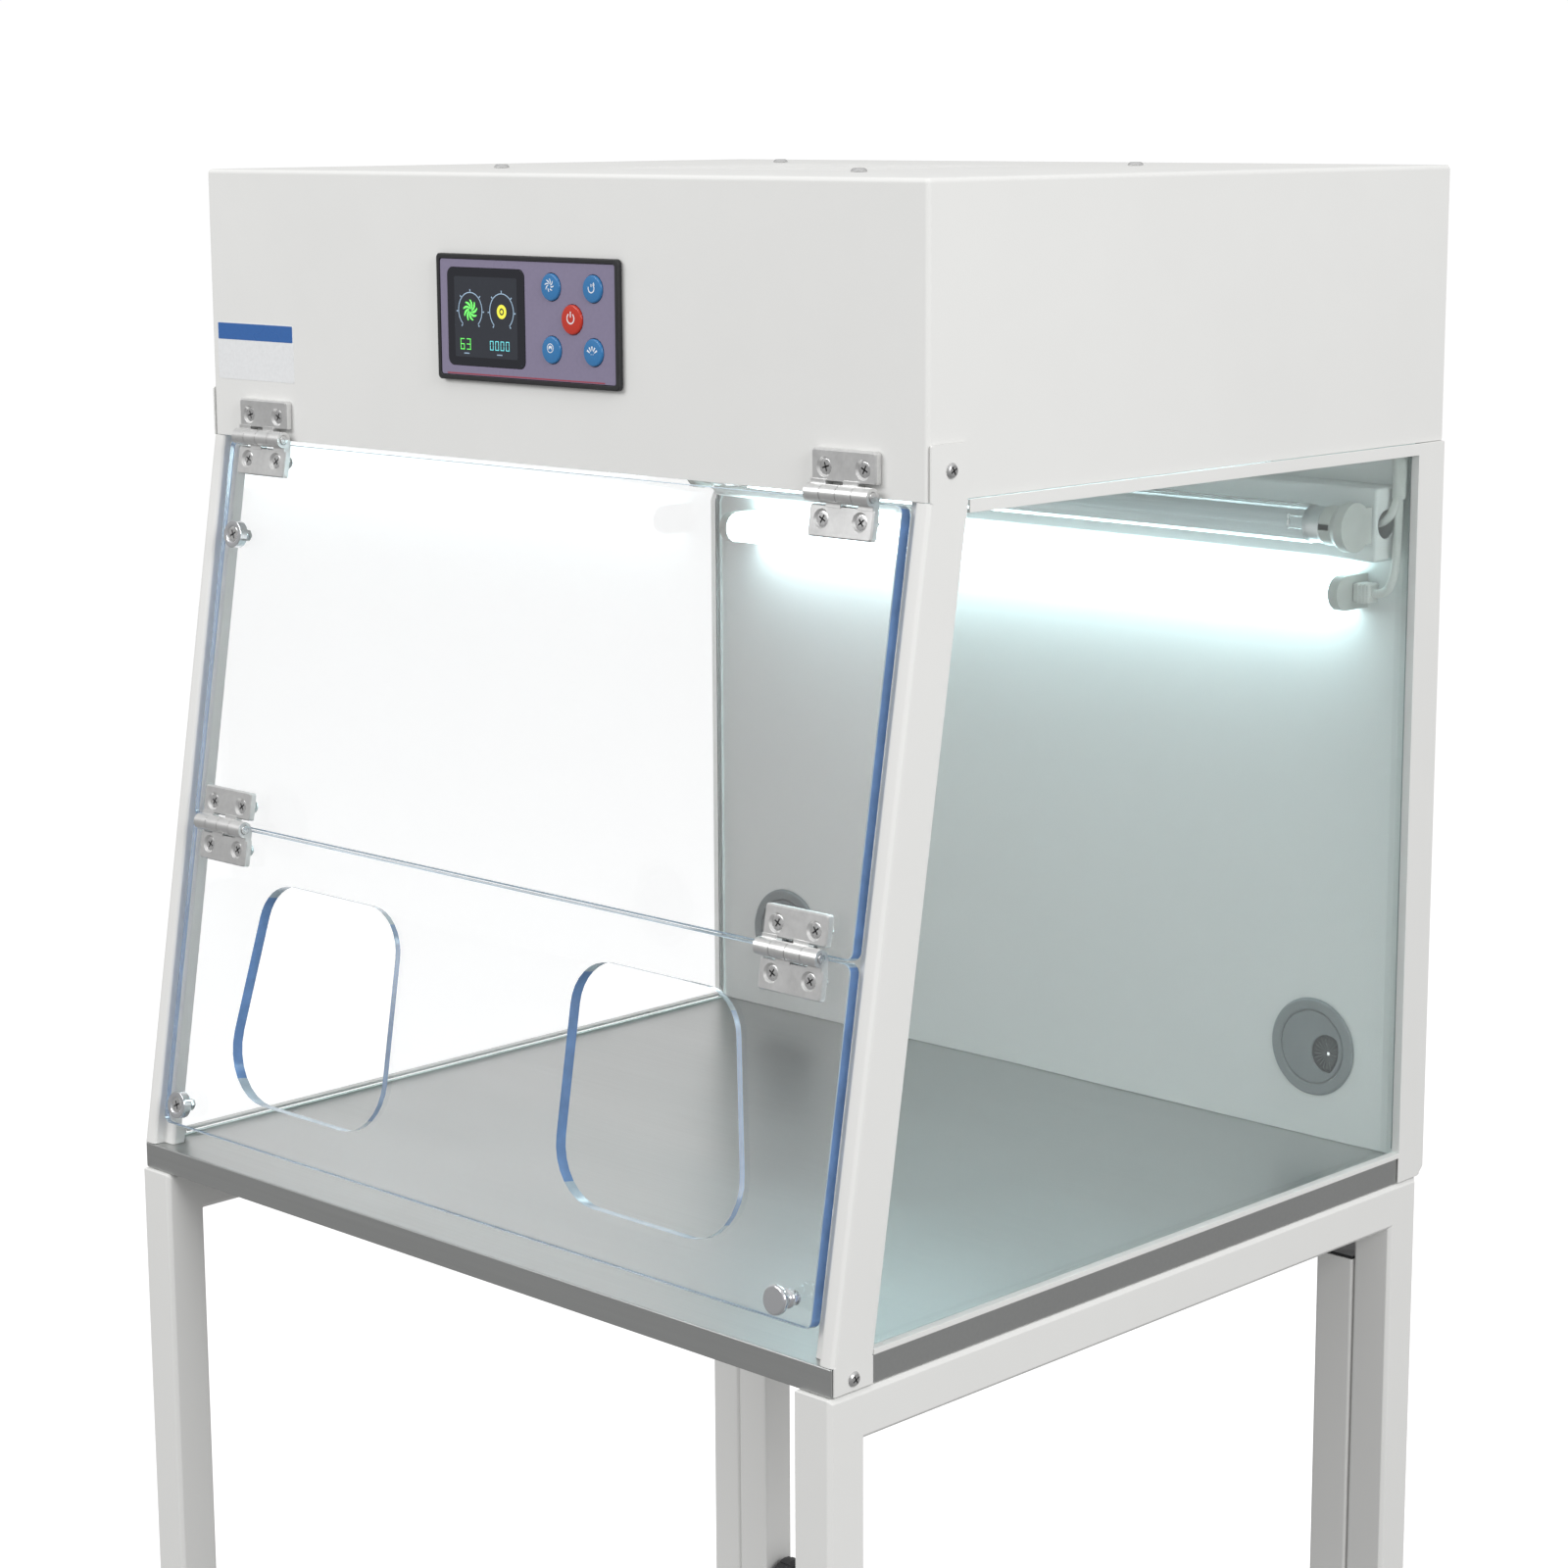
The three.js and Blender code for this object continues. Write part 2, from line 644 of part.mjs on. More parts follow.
function sidePane() {
  const low = WORK + 0.8;
  const high = ROOF - 0.8;
  const pane = outline([
    [frontAt(low) + GLASS.frontInset, low],
    [GLASS.back, low],
    [GLASS.back, high],
    [frontAt(high) + GLASS.frontInset, high],
  ]);
  return alongX(pane, GLASS.inner, GLASS.outer, 3, 0.4);
}

function backWall() {
  const { halfWidth, front, back } = BACK_WALL;
  const low = WORK + GAP;
  const high = ROOF - GAP;
  const tray = cutBy(
    block(-halfWidth, halfWidth, front, back, low, high),
    block(-halfWidth + SHEET, halfWidth - SHEET, front + SHEET, back + 1, low + SHEET, high - SHEET),
  );
  const bore = rod(GROMMET.hole, -back - 90, -front + 90);
  const holes = [-1, 1].map((side) => turnedFront(bore, side * GROMMET.x, GROMMET.z, 32));
  return cutBy(tray, ...holes);
}

// A shallow folded tray, open underneath.
function worktop() {
  const { halfWidth, front, back, edge, wall } = WORKTOP;
  const low = STAND_TOP + GAP;
  const tray = softBlock(-halfWidth, halfWidth, front, back, low, WORK, edge);
  const inside = halfWidth - wall;
  return tray.subtract(block(-inside, inside, front + wall, back - wall, low - 1, WORK - wall));
}

const rightPost = frontPost();
const rightFrame = sideFrame();
const rightPane = sidePane();
piece('right_front_post', rightPost, WHITE_PAINT);
piece('left_front_post', mirrored(rightPost), WHITE_PAINT);
piece('right_side_frame', rightFrame, WHITE_PAINT);
piece('left_side_frame', mirrored(rightFrame), WHITE_PAINT);
piece('right_glass', rightPane, SIDE_GLASS);
piece('left_glass', mirrored(rightPane), SIDE_GLASS);
piece('back_wall', backWall(), WHITE_PAINT);
piece('worktop', worktop(), STEEL);

// ---------------------------------------------------------------- doors
const doorFace = -DOOR.proud; // y of the doors' front face, in the sloped frame

function armHole(side) {
  const { inner, outerTop, outerBottom, top, bottom, topRadius, bottomRadius } = ARM_HOLE;
  const corners = [
    { x: inner, z: -top, radius: topRadius },
    { x: inner, z: -bottom, radius: bottomRadius },
    { x: outerBottom, z: -bottom, radius: bottomRadius },
    { x: outerTop, z: -top, radius: topRadius },
  ];
  const hole = roundedPolygon(corners.map((c) => ({ ...c, x: side * c.x })));
  return alongY(hole, -20, 20, 8);
}

// A polygon whose corners are circular arcs that meet both sides smoothly.
function roundedPolygon(corners) {
  const points = [];
  corners.forEach(({ x, z, radius }, i) => {
    const here = new THREE.Vector2(x, z);
    const before = corners[(i + corners.length - 1) % corners.length];
    const after = corners[(i + 1) % corners.length];
    const a = new THREE.Vector2(before.x, before.z).sub(here).normalize();
    const b = new THREE.Vector2(after.x, after.z).sub(here).normalize();
    const half = Math.acos(a.dot(b)) / 2;
    const centre = here.clone().add(a.clone().add(b).normalize().multiplyScalar(radius / Math.sin(half)));
    const start = here.clone().addScaledVector(a, radius / Math.tan(half)).sub(centre);
    const end = here.clone().addScaledVector(b, radius / Math.tan(half)).sub(centre);
    const turn = Math.atan2(start.cross(end), start.dot(end));
    const steps = 8;
    for (let k = 0; k <= steps; k += 1) {
      const spoke = start.clone().rotateAround(new THREE.Vector2(), (turn * k) / steps);
      points.push(centre.clone().add(spoke));
    }
  });
  return new THREE.Shape(points);
}

function doorSheet(top, bottom) {
  const { halfWidth, thick, corner } = DOOR;
  const rim = roundedRect(-halfWidth, halfWidth, -bottom, -top, corner);
  return alongY(rim, doorFace, doorFace + thick, 4, 0.5);
}

function boltHoles(spots, radius) {
  return spots.map(([x, s]) => turnedFront(rod(radius, -20, 20), x, -s, 8));
}

function hingeSpots(axisAt, sides) {
  const spots = [];
  for (const side of [-1, 1]) {
    for (const dx of [-HINGE.screwX, HINGE.screwX]) {
      for (const up of sides) {
        spots.push([side * HINGE.x + dx, axisAt - up * HINGE.screwZ]);
      }
    }
  }
  return spots;
}

const seam = DOOR.seam;
const lowerMagnetAt = 2 * seam - MAGNET.s;
const upperDoor = cutBy(
  doorSheet(DOOR.top, seam - DOOR.seamGap / 2),
  ...boltHoles([...hingeSpots(0, [-1]), ...hingeSpots(seam, [1]), [MAGNET.x, MAGNET.s]], HINGE.screwRadius),
);
const lowerDoor = cutBy(
  doorSheet(seam + DOOR.seamGap / 2, DOOR.bottom),
  ...boltHoles([...hingeSpots(seam, [-1]), [MAGNET.x, lowerMagnetAt], [KNOB.x, KNOB.s]], HINGE.screwRadius),
  armHole(-1),
  armHole(1),
);
piece('upper_door', upperDoor, ACRYLIC, slope);
piece('lower_door', lowerDoor, ACRYLIC, slope);

function ringMagnet() {
  const { radius, height, sink, bore } = MAGNET;
  return turned([
    [bore, 0],
    [radius - 0.5, 0],
    [radius, 0.5],
    [radius, height - 0.7],
    [radius - 0.7, height],
    [sink, height],
    [bore, height - 3.2],
  ], 20);
}

function pullKnob() {
  return turned([
    [0, 0],
    [5.9, 0],
    [5.9, 1.6],
    [4.3, 3],
    [4.3, 5.4],
    [6, 7.2],
    [8.3, 8.6],
    [8.9, 9.6],
    [8.9, 11.8],
    [8, 12.8],
    [0, 13],
  ], 20);
}

const onDoor = (geometry, x, s) => solid(geometry.rotateX(Math.PI / 2).translate(x, doorFace - GAP, -s));
piece('upper_magnet', onDoor(ringMagnet(), MAGNET.x, MAGNET.s), ZINC, slope);
piece('lower_magnet', onDoor(ringMagnet(), MAGNET.x, lowerMagnetAt), ZINC, slope);
piece('pull_knob', onDoor(pullKnob(), KNOB.x, KNOB.s), CHROME, slope);

// ---------------------------------------------------------------- hinges
// One leaf about its pin, which lies along x at the origin. The leaf goes up (side 1) or down
// (side -1) and stands in front of a surface at depth `mount`.
function hingeLeaf(side, mount) {
  const { halfWidth, reach, plateStart, thick, barrel, bore, bevel } = HINGE;
  const { screwX, screwZ, sinkRadius, screwRadius } = HINGE;
  const face = mount - thick;
  const plateRim = roundedRect(-halfWidth, halfWidth, plateStart, reach, 2 * bevel);
  const plate = alongY(plateRim, face, mount + 2 * bevel, 1, bevel);
  let leaf = plate.subtract(block(-30, 30, mount, mount + 10, -30, 30));
  const width = (2 * halfWidth) / 4;
  const first = side > 0 ? 0 : 1;
  for (const i of [first, first + 2]) {
    const x0 = -halfWidth + i * width + GAP / 2;
    const x1 = x0 + width - GAP;
    const web = block(x0 + 0.3, x1 - 0.3, 1.4, mount - GAP, 0, plateStart + 1.5);
    leaf = joined(leaf, turnedX(rod(barrel, x0, x1), 0, 0, 14), web);
  }
  leaf = leaf.subtract(turnedX(rod(bore, -40, 40), 0, 0, 10));
  const sinkDepth = 3.4;
  const sink = [
    [0, -mount - 1],
    [screwRadius, -mount - 1],
    [screwRadius, -face - sinkDepth],
    [sinkRadius, -face],
    [sinkRadius, -face + 3],
    [0, -face + 3],
  ];
  for (const x of [-screwX, screwX]) {
    leaf = leaf.subtract(turnedFront(sink, x, screwZ, 12));
  }
  return side > 0 ? leaf : solid(geometryOf(leaf).scale(1, 1, -1));
}

const hingePin = turnedX(rod(HINGE.pin, -HINGE.halfWidth - 0.4, HINGE.halfWidth + 0.4), 0, 0, 10);
const pinDepth = doorFace - HINGE.axis; // y of both hinge axes in the sloped frame
const pinForward = -pinDepth * Math.cos(SLOPE); // how far the top axis stands before the housing
const pinAboveRoof = -pinDepth * Math.sin(SLOPE);
const onHousing = hingeLeaf(1, pinForward - GAP);
const upOnDoor = hingeLeaf(1, HINGE.axis - GAP);
const downOnDoor = hingeLeaf(-1, HINGE.axis - GAP);

for (const [side, x] of [
  ['left', -HINGE.x],
  ['right', HINGE.x],
]) {
  piece(`top_hinge_${side}_fixed_leaf`, onHousing, ZINC).position.set(x, -pinForward, ROOF + pinAboveRoof);
  piece(`top_hinge_${side}_door_leaf`, downOnDoor, ZINC, slope).position.set(x, pinDepth, 0);
  piece(`top_hinge_${side}_pin`, hingePin, ZINC).position.set(x, -pinForward, ROOF + pinAboveRoof);
  piece(`mid_hinge_${side}_upper_leaf`, upOnDoor, ZINC, slope).position.set(x, pinDepth, -seam);
  piece(`mid_hinge_${side}_lower_leaf`, downOnDoor, ZINC, slope).position.set(x, pinDepth, -seam);
  piece(`mid_hinge_${side}_pin`, hingePin, ZINC, slope).position.set(x, pinDepth, -seam);
}

// ---------------------------------------------------------------- lamps
function uvBatten() {
  const { halfWidth, front, z, height, wall, endHole, holeY } = BATTEN;
  const back = BACK_WALL.front - GAP;
  const low = z - height / 2;
  const high = z + height / 2;
  return cutBy(
    softBlock(-halfWidth, halfWidth, front, back + 6, low, high, 2.5),
    block(-400, 400, back, back + 10, low - 1, high + 1),
    block(-halfWidth + wall, halfWidth - wall, front + wall, back + 1, low + wall, high - wall),
    turnedX(rod(endHole, 290, 320), holeY, z, 20),
  );
}

function lampHolder() {
  const { collar, end, collarRadius, endRadius, cavity, cavityDepth } = HOLDER;
  const start = LAMP.half + GAP;
  const body = turnedX(
    [
      [0, start],
      [collarRadius - 0.8, start],
      [collarRadius, start + 0.8],
      [collarRadius, collar],
      [endRadius, collar + 5],
      [endRadius, end],
      [0, end],
    ],
    LAMP.y,
    LAMP.z,
    20,
  );
  const foot = block(collar + 4, end, LAMP.y, BATTEN.front - GAP, LAMP.z - 12, LAMP.z + 12);
  const pocket = turnedX(rod(cavity, start - 1, start + cavityDepth), LAMP.y, LAMP.z, 16);
  const entry = block(start - 1, start + cavityDepth, LAMP.y - 30, LAMP.y, LAMP.z - 1.9, LAMP.z + 1.9);
  return cutBy(joined(body, foot), pocket, entry);
}

function uvTube() {
  const { half, radius, cap, capLength, pinGap } = LAMP;
  const glassEnd = half - capLength;
  const profile = [
    [0, -half],
    [cap - 0.8, -half],
    [cap, -half + 0.8],
    [cap, -glassEnd],
    [radius, -glassEnd + 2],
    [radius, glassEnd - 2],
    [cap, glassEnd],
    [cap, half - 0.8],
    [cap - 0.8, half],
    [0, half],
  ];
  const tube = turnedX(profile, LAMP.y, LAMP.z, 20);
  const pins = [];
  for (const end of [-1, 1]) {
    for (const offset of [-pinGap / 2, pinGap / 2]) {
      const low = end > 0 ? half - 1 : -half - 7;
      pins.push(turnedX(rod(1.2, low, low + 8), LAMP.y, LAMP.z + offset, 8));
    }
  }
  return joined(tube, ...pins);
}

function lightBar() {
  const { half, front, z, height } = LIGHT_BAR;
  const back = BACK_WALL.front - GAP;
  const r = height / 2;
  const section = new THREE.Shape();
  section.moveTo(back, z - r);
  section.lineTo(back, z + r);
  section.lineTo(front + r, z + r);
  section.absarc(front + r, z, r, Math.PI / 2, 1.5 * Math.PI, false);
  return alongX(section, -half, half, 10, 0.8);
}

function lampCables() {
  const { x, y, radius, sleeve } = CABLE;
  const roofLine = ROOF - GAP;
  const barEnd = LIGHT_BAR.half + GAP;
  const barZ = LIGHT_BAR.z;
  const down = swept(
    [
      [x, y, WORK + 470],
      [x, y, WORK + 440],
      [x, y - 1, WORK + 415],
      [x, y - 3, WORK + 398],
      [x - 3, y - 5, barZ + 4],
      [x - 9, y - 6, barZ + 0.5],
      [x - 16, y - 6, barZ],
    ],
    radius,
    8,
    14,
  );
  const aside = swept(
    [
      [x, y, WORK + 468],
      [x - 0.5, y - 0.5, WORK + 449],
      [x - 3, y - 3, WORK + 438],
      [x - 8, BATTEN.holeY, BATTEN.z + 2],
      [x - 14, BATTEN.holeY, BATTEN.z],
    ],
    radius,
    8,
    9,
  );
  const cover = turnedZ(rod(sleeve, WORK + 447, roofLine), x, y, 14);
  const plug = softBlock(barEnd, barEnd + 13, y - 12, y, barZ - 6.5, barZ + 6.5, 1.5);
  return joined(down, aside, cover, plug);
}

piece('uv_batten', uvBatten(), WHITE_PAINT);
const rightHolder = lampHolder();
piece('uv_holder_right', rightHolder, PALE_PLASTIC);
piece('uv_holder_left', mirrored(rightHolder), PALE_PLASTIC);
piece('uv_tube', uvTube(), LAMP_GLASS);
piece('light_bar', lightBar(), DIFFUSER);
piece('lamp_cables', lampCables(), CABLE_WHITE);

// ---------------------------------------------------------------- cable grommets
function grommetRing() {
  const face = -BACK_WALL.front + GAP; // heights run towards the front
  const { flange, barrel, seat } = GROMMET;
  return turned([
    [seat, face - 13],
    [barrel, face - 13],
    [barrel, face],
    [flange, face],
    [flange, face + 1.2],
    [flange - 1.6, face + 2.6],
    [seat, face + 2.6],
  ], 28);
}

// The cap's cable opening lies off centre and ends against the rim.
function grommetCap() {
  const low = -BACK_WALL.front - 1.2;
  const high = -BACK_WALL.front + 2.4;
  const disc = turned([
    [0, low],
    [GROMMET.cap, low],
    [GROMMET.cap, high - 0.8],
    [GROMMET.cap - 0.8, high],
    [0, high],
  ], 28);
  const centre = { x: 13, z: -3, radius: 13.5 };
  const limit = 22.5;
  const bite = solid(turned(rod(centre.radius, low - 1, high + 1), 20).translate(centre.x, centre.z, 0));
  const round = solid(turned(rod(limit, low - 2, high + 2), 28));
  return solid(disc).subtract(bite.intersect(round));
}

const towardsFront = (shape) => shape.rotate([90, 0, 0]);
const ringShape = towardsFront(solid(grommetRing()));
const capShape = towardsFront(grommetCap());
for (const [side, x] of [
  ['left', -GROMMET.x],
  ['right', GROMMET.x],
]) {
  piece(`grommet_ring_${side}`, ringShape, GREY_PLASTIC).position.set(x, 0, GROMMET.z);
  piece(`grommet_cap_${side}`, capShape, GREY_PLASTIC).position.set(x, 0, GROMMET.z);
}

// ---------------------------------------------------------------- stand
const stemHole = (y) => turnedZ(rod(5.4, 0, 62), STAND.outer - TUBE / 2, y, 12);
const legMiddles = [STAND.front + TUBE / 2, STAND.back - TUBE / 2];

// Two legs and the rail between them as one outline, drawn `inset` inside the tube's faces.
function legsAndRail(inset) {
  const { front, back, legBottom } = STAND;
  const width = TUBE - inset;
  return outline([
    [front + inset, legBottom + inset],
    [front + width, legBottom + inset],
    [front + width, STAND_TOP - width],
    [back - width, STAND_TOP - width],
    [back - width, legBottom + inset],
    [back - inset, legBottom + inset],
    [back - inset, STAND_TOP - inset],
    [front + inset, STAND_TOP - inset],
  ]);
}

function standSide() {
  const { outer, edge } = STAND;
  const frame = alongX(legsAndRail(0), outer - TUBE, outer, 3, edge);
  const hollow = alongX(legsAndRail(TUBE_WALL), outer - TUBE + TUBE_WALL, outer - TUBE_WALL);
  return cutBy(frame, hollow, ...legMiddles.map(stemHole));
}

function backFrame() {
  const { outer, low, high, rails } = BACK_FRAME;
  const back = STAND.back;
  const front = back - TUBE;
  const inner = outer - TUBE / 2;
  const wall = TUBE_WALL;
  const upright = softBlock(outer - TUBE, outer, front, back, low, high + STAND.edge, STAND.edge);
  const openEnd = block(outer - TUBE - 1, outer + 1, front - 1, back + 1, high, high + TUBE);
  const right = upright.subtract(openEnd);
  const bars = rails.map((z) => softBlock(-inner, inner, front, back, z, z + TUBE, STAND.edge));
  const bore = (x0, x1, z0, z1) => block(x0, x1, front + wall, back - wall, z0, z1);
  const uprightBore = bore(outer - TUBE + wall, outer - wall, low + wall, high + 1);
  const barBores = rails.map((z) => bore(-inner, inner, z + wall, z + TUBE - wall));
  const studHole = turnedX(rod(4.4, -outer + 5, outer - 5), HAND_KNOB.y, HAND_KNOB.z, 12);
  const outside = joined(right, mirrored(right), ...bars);
  return cutBy(outside, uprightBore, mirrored(uprightBore), ...barBores, studHole);
}

// A turned clamping knob with eight finger grooves, standing off the upright towards the middle.
function handKnob() {
  const face = BACK_FRAME.outer - TUBE - GAP;
  const { radius, y, z } = HAND_KNOB;
  const profile = [
    [0, -face + 19],
    [radius - 3, -face + 19],
    [radius, -face + 16],
    [radius, -face + 7],
    [radius - 2, -face + 5],
    [8, -face + 5],
    [8, -face],
    [4, -face],
    [4, -face - 10],
    [0, -face - 10],
  ];
  let knob = solid(turned(profile, 24));
  for (let i = 0; i < 8; i += 1) {
    const angle = (i * Math.PI) / 4 + Math.PI / 8;
    const groove = turned(rod(3.2, -face + 4, -face + 25), 6);
    const reach = radius + 1.6;
    knob = knob.subtract(solid(groove.translate(reach * Math.cos(angle), reach * Math.sin(angle), 0)));
  }
  return knob.rotate([0, 90, 0]).translate([0, y, z]);
}

function levellingFoot(y) {
  return turnedZ(
    [
      [0, 0],
      [16, 0],
      [17, 1.2],
      [17, 6],
      [14, 8.5],
      [7, 10],
      [5, 12],
      [5, 60],
      [0, 60],
    ],
    STAND.outer - TUBE / 2,
    y,
    16,
  );
}

const rightStand = standSide();
piece('stand_right', rightStand, WHITE_PAINT);
piece('stand_left', mirrored(rightStand), WHITE_PAINT);
piece('back_frame', backFrame(), WHITE_PAINT);
const leftKnob = handKnob();
piece('hand_knob_left', leftKnob, BLACK_PLASTIC);
piece('hand_knob_right', mirrored(leftKnob), BLACK_PLASTIC);
for (const [place, y] of [
  ['front', legMiddles[0]],
  ['rear', legMiddles[1]],
]) {
  const foot = levellingFoot(y);
  piece(`foot_${place}_right`, foot, BLACK_PLASTIC);
  piece(`foot_${place}_left`, mirrored(foot), BLACK_PLASTIC);
}

export default hood;
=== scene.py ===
"""The looks of a small ventilated bench hood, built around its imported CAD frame."""
import json
import math
import random

import bmesh
import bpy
from mathutils import Euler, Matrix, Vector


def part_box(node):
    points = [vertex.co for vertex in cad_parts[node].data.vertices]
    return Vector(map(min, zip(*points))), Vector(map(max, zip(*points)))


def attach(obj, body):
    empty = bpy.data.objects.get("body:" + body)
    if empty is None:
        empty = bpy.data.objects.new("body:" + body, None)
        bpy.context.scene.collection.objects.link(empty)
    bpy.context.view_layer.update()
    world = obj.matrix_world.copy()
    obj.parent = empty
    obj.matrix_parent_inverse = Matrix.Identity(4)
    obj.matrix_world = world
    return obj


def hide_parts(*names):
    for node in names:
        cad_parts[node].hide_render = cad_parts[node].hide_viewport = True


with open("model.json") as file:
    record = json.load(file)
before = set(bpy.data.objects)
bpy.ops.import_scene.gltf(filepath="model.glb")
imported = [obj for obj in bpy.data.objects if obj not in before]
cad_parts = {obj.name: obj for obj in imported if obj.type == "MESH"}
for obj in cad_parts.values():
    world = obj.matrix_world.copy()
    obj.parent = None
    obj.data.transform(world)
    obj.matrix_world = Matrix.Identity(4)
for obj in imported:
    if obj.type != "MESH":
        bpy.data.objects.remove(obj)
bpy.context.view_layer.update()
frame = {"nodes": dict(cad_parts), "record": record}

random.seed(7)


# ------------------------------------------------------------------ where things are
def low(node):
    return Vector(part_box(node)[0])


def high(node):
    return Vector(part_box(node)[1])


FRONT = low("housing_shell").y
ROOF = low("housing_shell").z
TOP = high("housing_shell").z
WORK = high("worktop").z
SLOPE = math.atan2(FRONT - low("worktop").y, ROOF - WORK)
SLOPED = Matrix.Translation((0, FRONT, ROOF)) @ Matrix.Rotation(-SLOPE, 4, "X")

BODY_OF = {}
for body_name, body_nodes in frame["record"]["behaviour"]["bodies"].items():
    for body_node in body_nodes:
        BODY_OF[body_node] = body_name
ROOT = BODY_OF["housing_shell"]


# ------------------------------------------------------------------ camera
def make_camera():
    data = bpy.data.cameras.new("camera")
    data.sensor_width = 36
    data.lens = 80.28
    data.clip_end = 50
    camera = bpy.data.objects.new("camera", data)
    bpy.context.collection.objects.link(camera)
    place = Matrix.Translation((1.6151, FRONT - 1.44327, WORK + 0.69739))
    turn = Euler((math.radians(90 - 10.873), 0, math.radians(44.167))).to_matrix().to_4x4()
    camera.matrix_world = place @ turn @ Matrix.Rotation(math.radians(-0.287), 4, "Z")
    bpy.context.scene.camera = camera


make_camera()


# ------------------------------------------------------------------ node materials
class Paint:
    """A material being wired up: its tree, its shader and object coordinates in metres."""

    def __init__(self, name, color, roughness, metallic=0.0, specular=0.5):
        self.material = bpy.data.materials.new(name)
        self.material.use_nodes = True
        self.tree = self.material.node_tree
        self.shader = self.tree.nodes["Principled BSDF"]
        self.shader.inputs["Base Color"].default_value = (*color, 1)
        self.shader.inputs["Roughness"].default_value = roughness
        self.shader.inputs["Metallic"].default_value = metallic
        self.shader.inputs["Specular IOR Level"].default_value = specular
        self.place = self.tree.nodes.new("ShaderNodeTexCoord").outputs["Object"]
        self.color = color

    def link(self, source, target):
        self.tree.links.new(source, target)

    def noise(self, scale, detail=2.0, stretch=(1, 1, 1), rough=0.5):
        mapping = self.tree.nodes.new("ShaderNodeMapping")
        mapping.inputs["Scale"].default_value = stretch
        self.link(self.place, mapping.inputs["Vector"])
        node = self.tree.nodes.new("ShaderNodeTexNoise")
        node.inputs["Scale"].default_value = scale
        node.inputs["Detail"].default_value = detail
        node.inputs["Roughness"].default_value = rough
        self.link(mapping.outputs["Vector"], node.inputs["Vector"])
        return node.outputs["Fac"]

    def ramp(self, source, dark, light, start=0.3, end=0.7):
        node = self.tree.nodes.new("ShaderNodeValToRGB")
        first, last = node.color_ramp.elements
        first.position, last.position = start, end
        first.color, last.color = (*dark, 1), (*light, 1)
        self.link(source, node.inputs["Fac"])
        return node.outputs["Color"]

    def vary(self, source, amount, start=0.3, end=0.7):
        """The base colour swings lighter and darker by a share of itself."""
        dark = tuple(c * (1 - amount) for c in self.color)
        light = tuple(min(1.0, c * (1 + amount)) for c in self.color)
        self.link(self.ramp(source, dark, light, start, end), self.shader.inputs["Base Color"])
        return self

    def roughen(self, source, lowest, highest):
        node = self.tree.nodes.new("ShaderNodeMapRange")
        node.inputs["From Min"].default_value = 0.3
        node.inputs["From Max"].default_value = 0.7
        node.inputs["To Min"].default_value = lowest
        node.inputs["To Max"].default_value = highest
        self.link(source, node.inputs["Value"])
        self.link(node.outputs["Result"], self.shader.inputs["Roughness"])
        return self

    def bump(self, source, height, strength=1.0):
        node = self.tree.nodes.new("ShaderNodeBump")
        node.inputs["Distance"].default_value = height
        node.inputs["Strength"].default_value = strength
        self.link(source, node.inputs["Height"])
        self.link(node.outputs["Normal"], self.shader.inputs["Normal"])
        return self

    def set(self, **values):
        for key, value in values.items():
            self.shader.inputs[key.replace("_", " ")].default_value = value
        return self


def powder_coat():
    paint = Paint("white_powder_coat", (0.80, 0.80, 0.785), 0.5, specular=0.45)
    paint.vary(paint.noise(5, 3), 0.012)
    paint.roughen(paint.noise(60, 3), 0.42, 0.56)
    return paint.bump(paint.noise(900, 2), 0.00006, 0.6).material


def stainless():
    paint = Paint("brushed_stainless", (0.50, 0.508, 0.503), 0.36, 1.0)
    grain = paint.noise(420, 4, (0.015, 1, 1))
    paint.vary(grain, 0.025)
    paint.roughen(paint.noise(9, 3, (0.3, 1, 1)), 0.30, 0.38)
    return paint.bump(grain, 0.00002, 0.25).material


def zinc():
    paint = Paint("satin_zinc", (0.78, 0.78, 0.775), 0.33, 1.0)
    paint.vary(paint.noise(320, 4), 0.04)
    paint.roughen(paint.noise(90, 3), 0.30, 0.38)
    return paint.bump(paint.noise(700, 3), 0.00003, 0.5).material


def chrome():
    paint = Paint("polished_chrome", (0.72, 0.73, 0.75), 0.07, 1.0)
    return paint.roughen(paint.noise(200, 3), 0.04, 0.11).material


def screw_metal():
    paint = Paint("bright_screw_metal", (0.66, 0.66, 0.66), 0.25, 1.0)
    paint.vary(paint.noise(900, 2), 0.08)
    return paint.roughen(paint.noise(400, 2), 0.18, 0.34).material


def plain_aluminium():
    paint = Paint("plain_aluminium", (0.62, 0.63, 0.63), 0.42, 1.0)
    paint.vary(paint.noise(60, 4), 0.05)
    return paint.bump(paint.noise(300, 3), 0.00004, 0.4).material


def clear(name, tint, ior, density):
    """A clear solid that takes its tint from the depth of material that light crosses."""
    paint = Paint(name, (1, 1, 1), 0.0)
    paint.set(Transmission_Weight=1.0, IOR=ior)
    paint.roughen(paint.noise(14, 3), 0.0, 0.012)
    depth = paint.tree.nodes.new("ShaderNodeVolumeAbsorption")
    depth.inputs["Color"].default_value = (*tint, 1)
    depth.inputs["Density"].default_value = density
    output = paint.tree.nodes["Material Output"]
    paint.link(depth.outputs["Volume"], output.inputs["Volume"])
    return paint.material


def lit_edge(name, tint, density, glow):
    """A polished cut edge; its emission is painted glow that stands in for the light the edge gathers from
    the whole sheet.
    """
    paint = Paint(name, tint, 0.16)
    paint.set(Transmission_Weight=0.35, IOR=1.45)
    paint.vary(paint.noise(density, 3), 0.18)
    paint.shader.inputs["Emission Color"].default_value = (*tint, 1)
    paint.shader.inputs["Emission Strength"].default_value = glow
    return paint.material


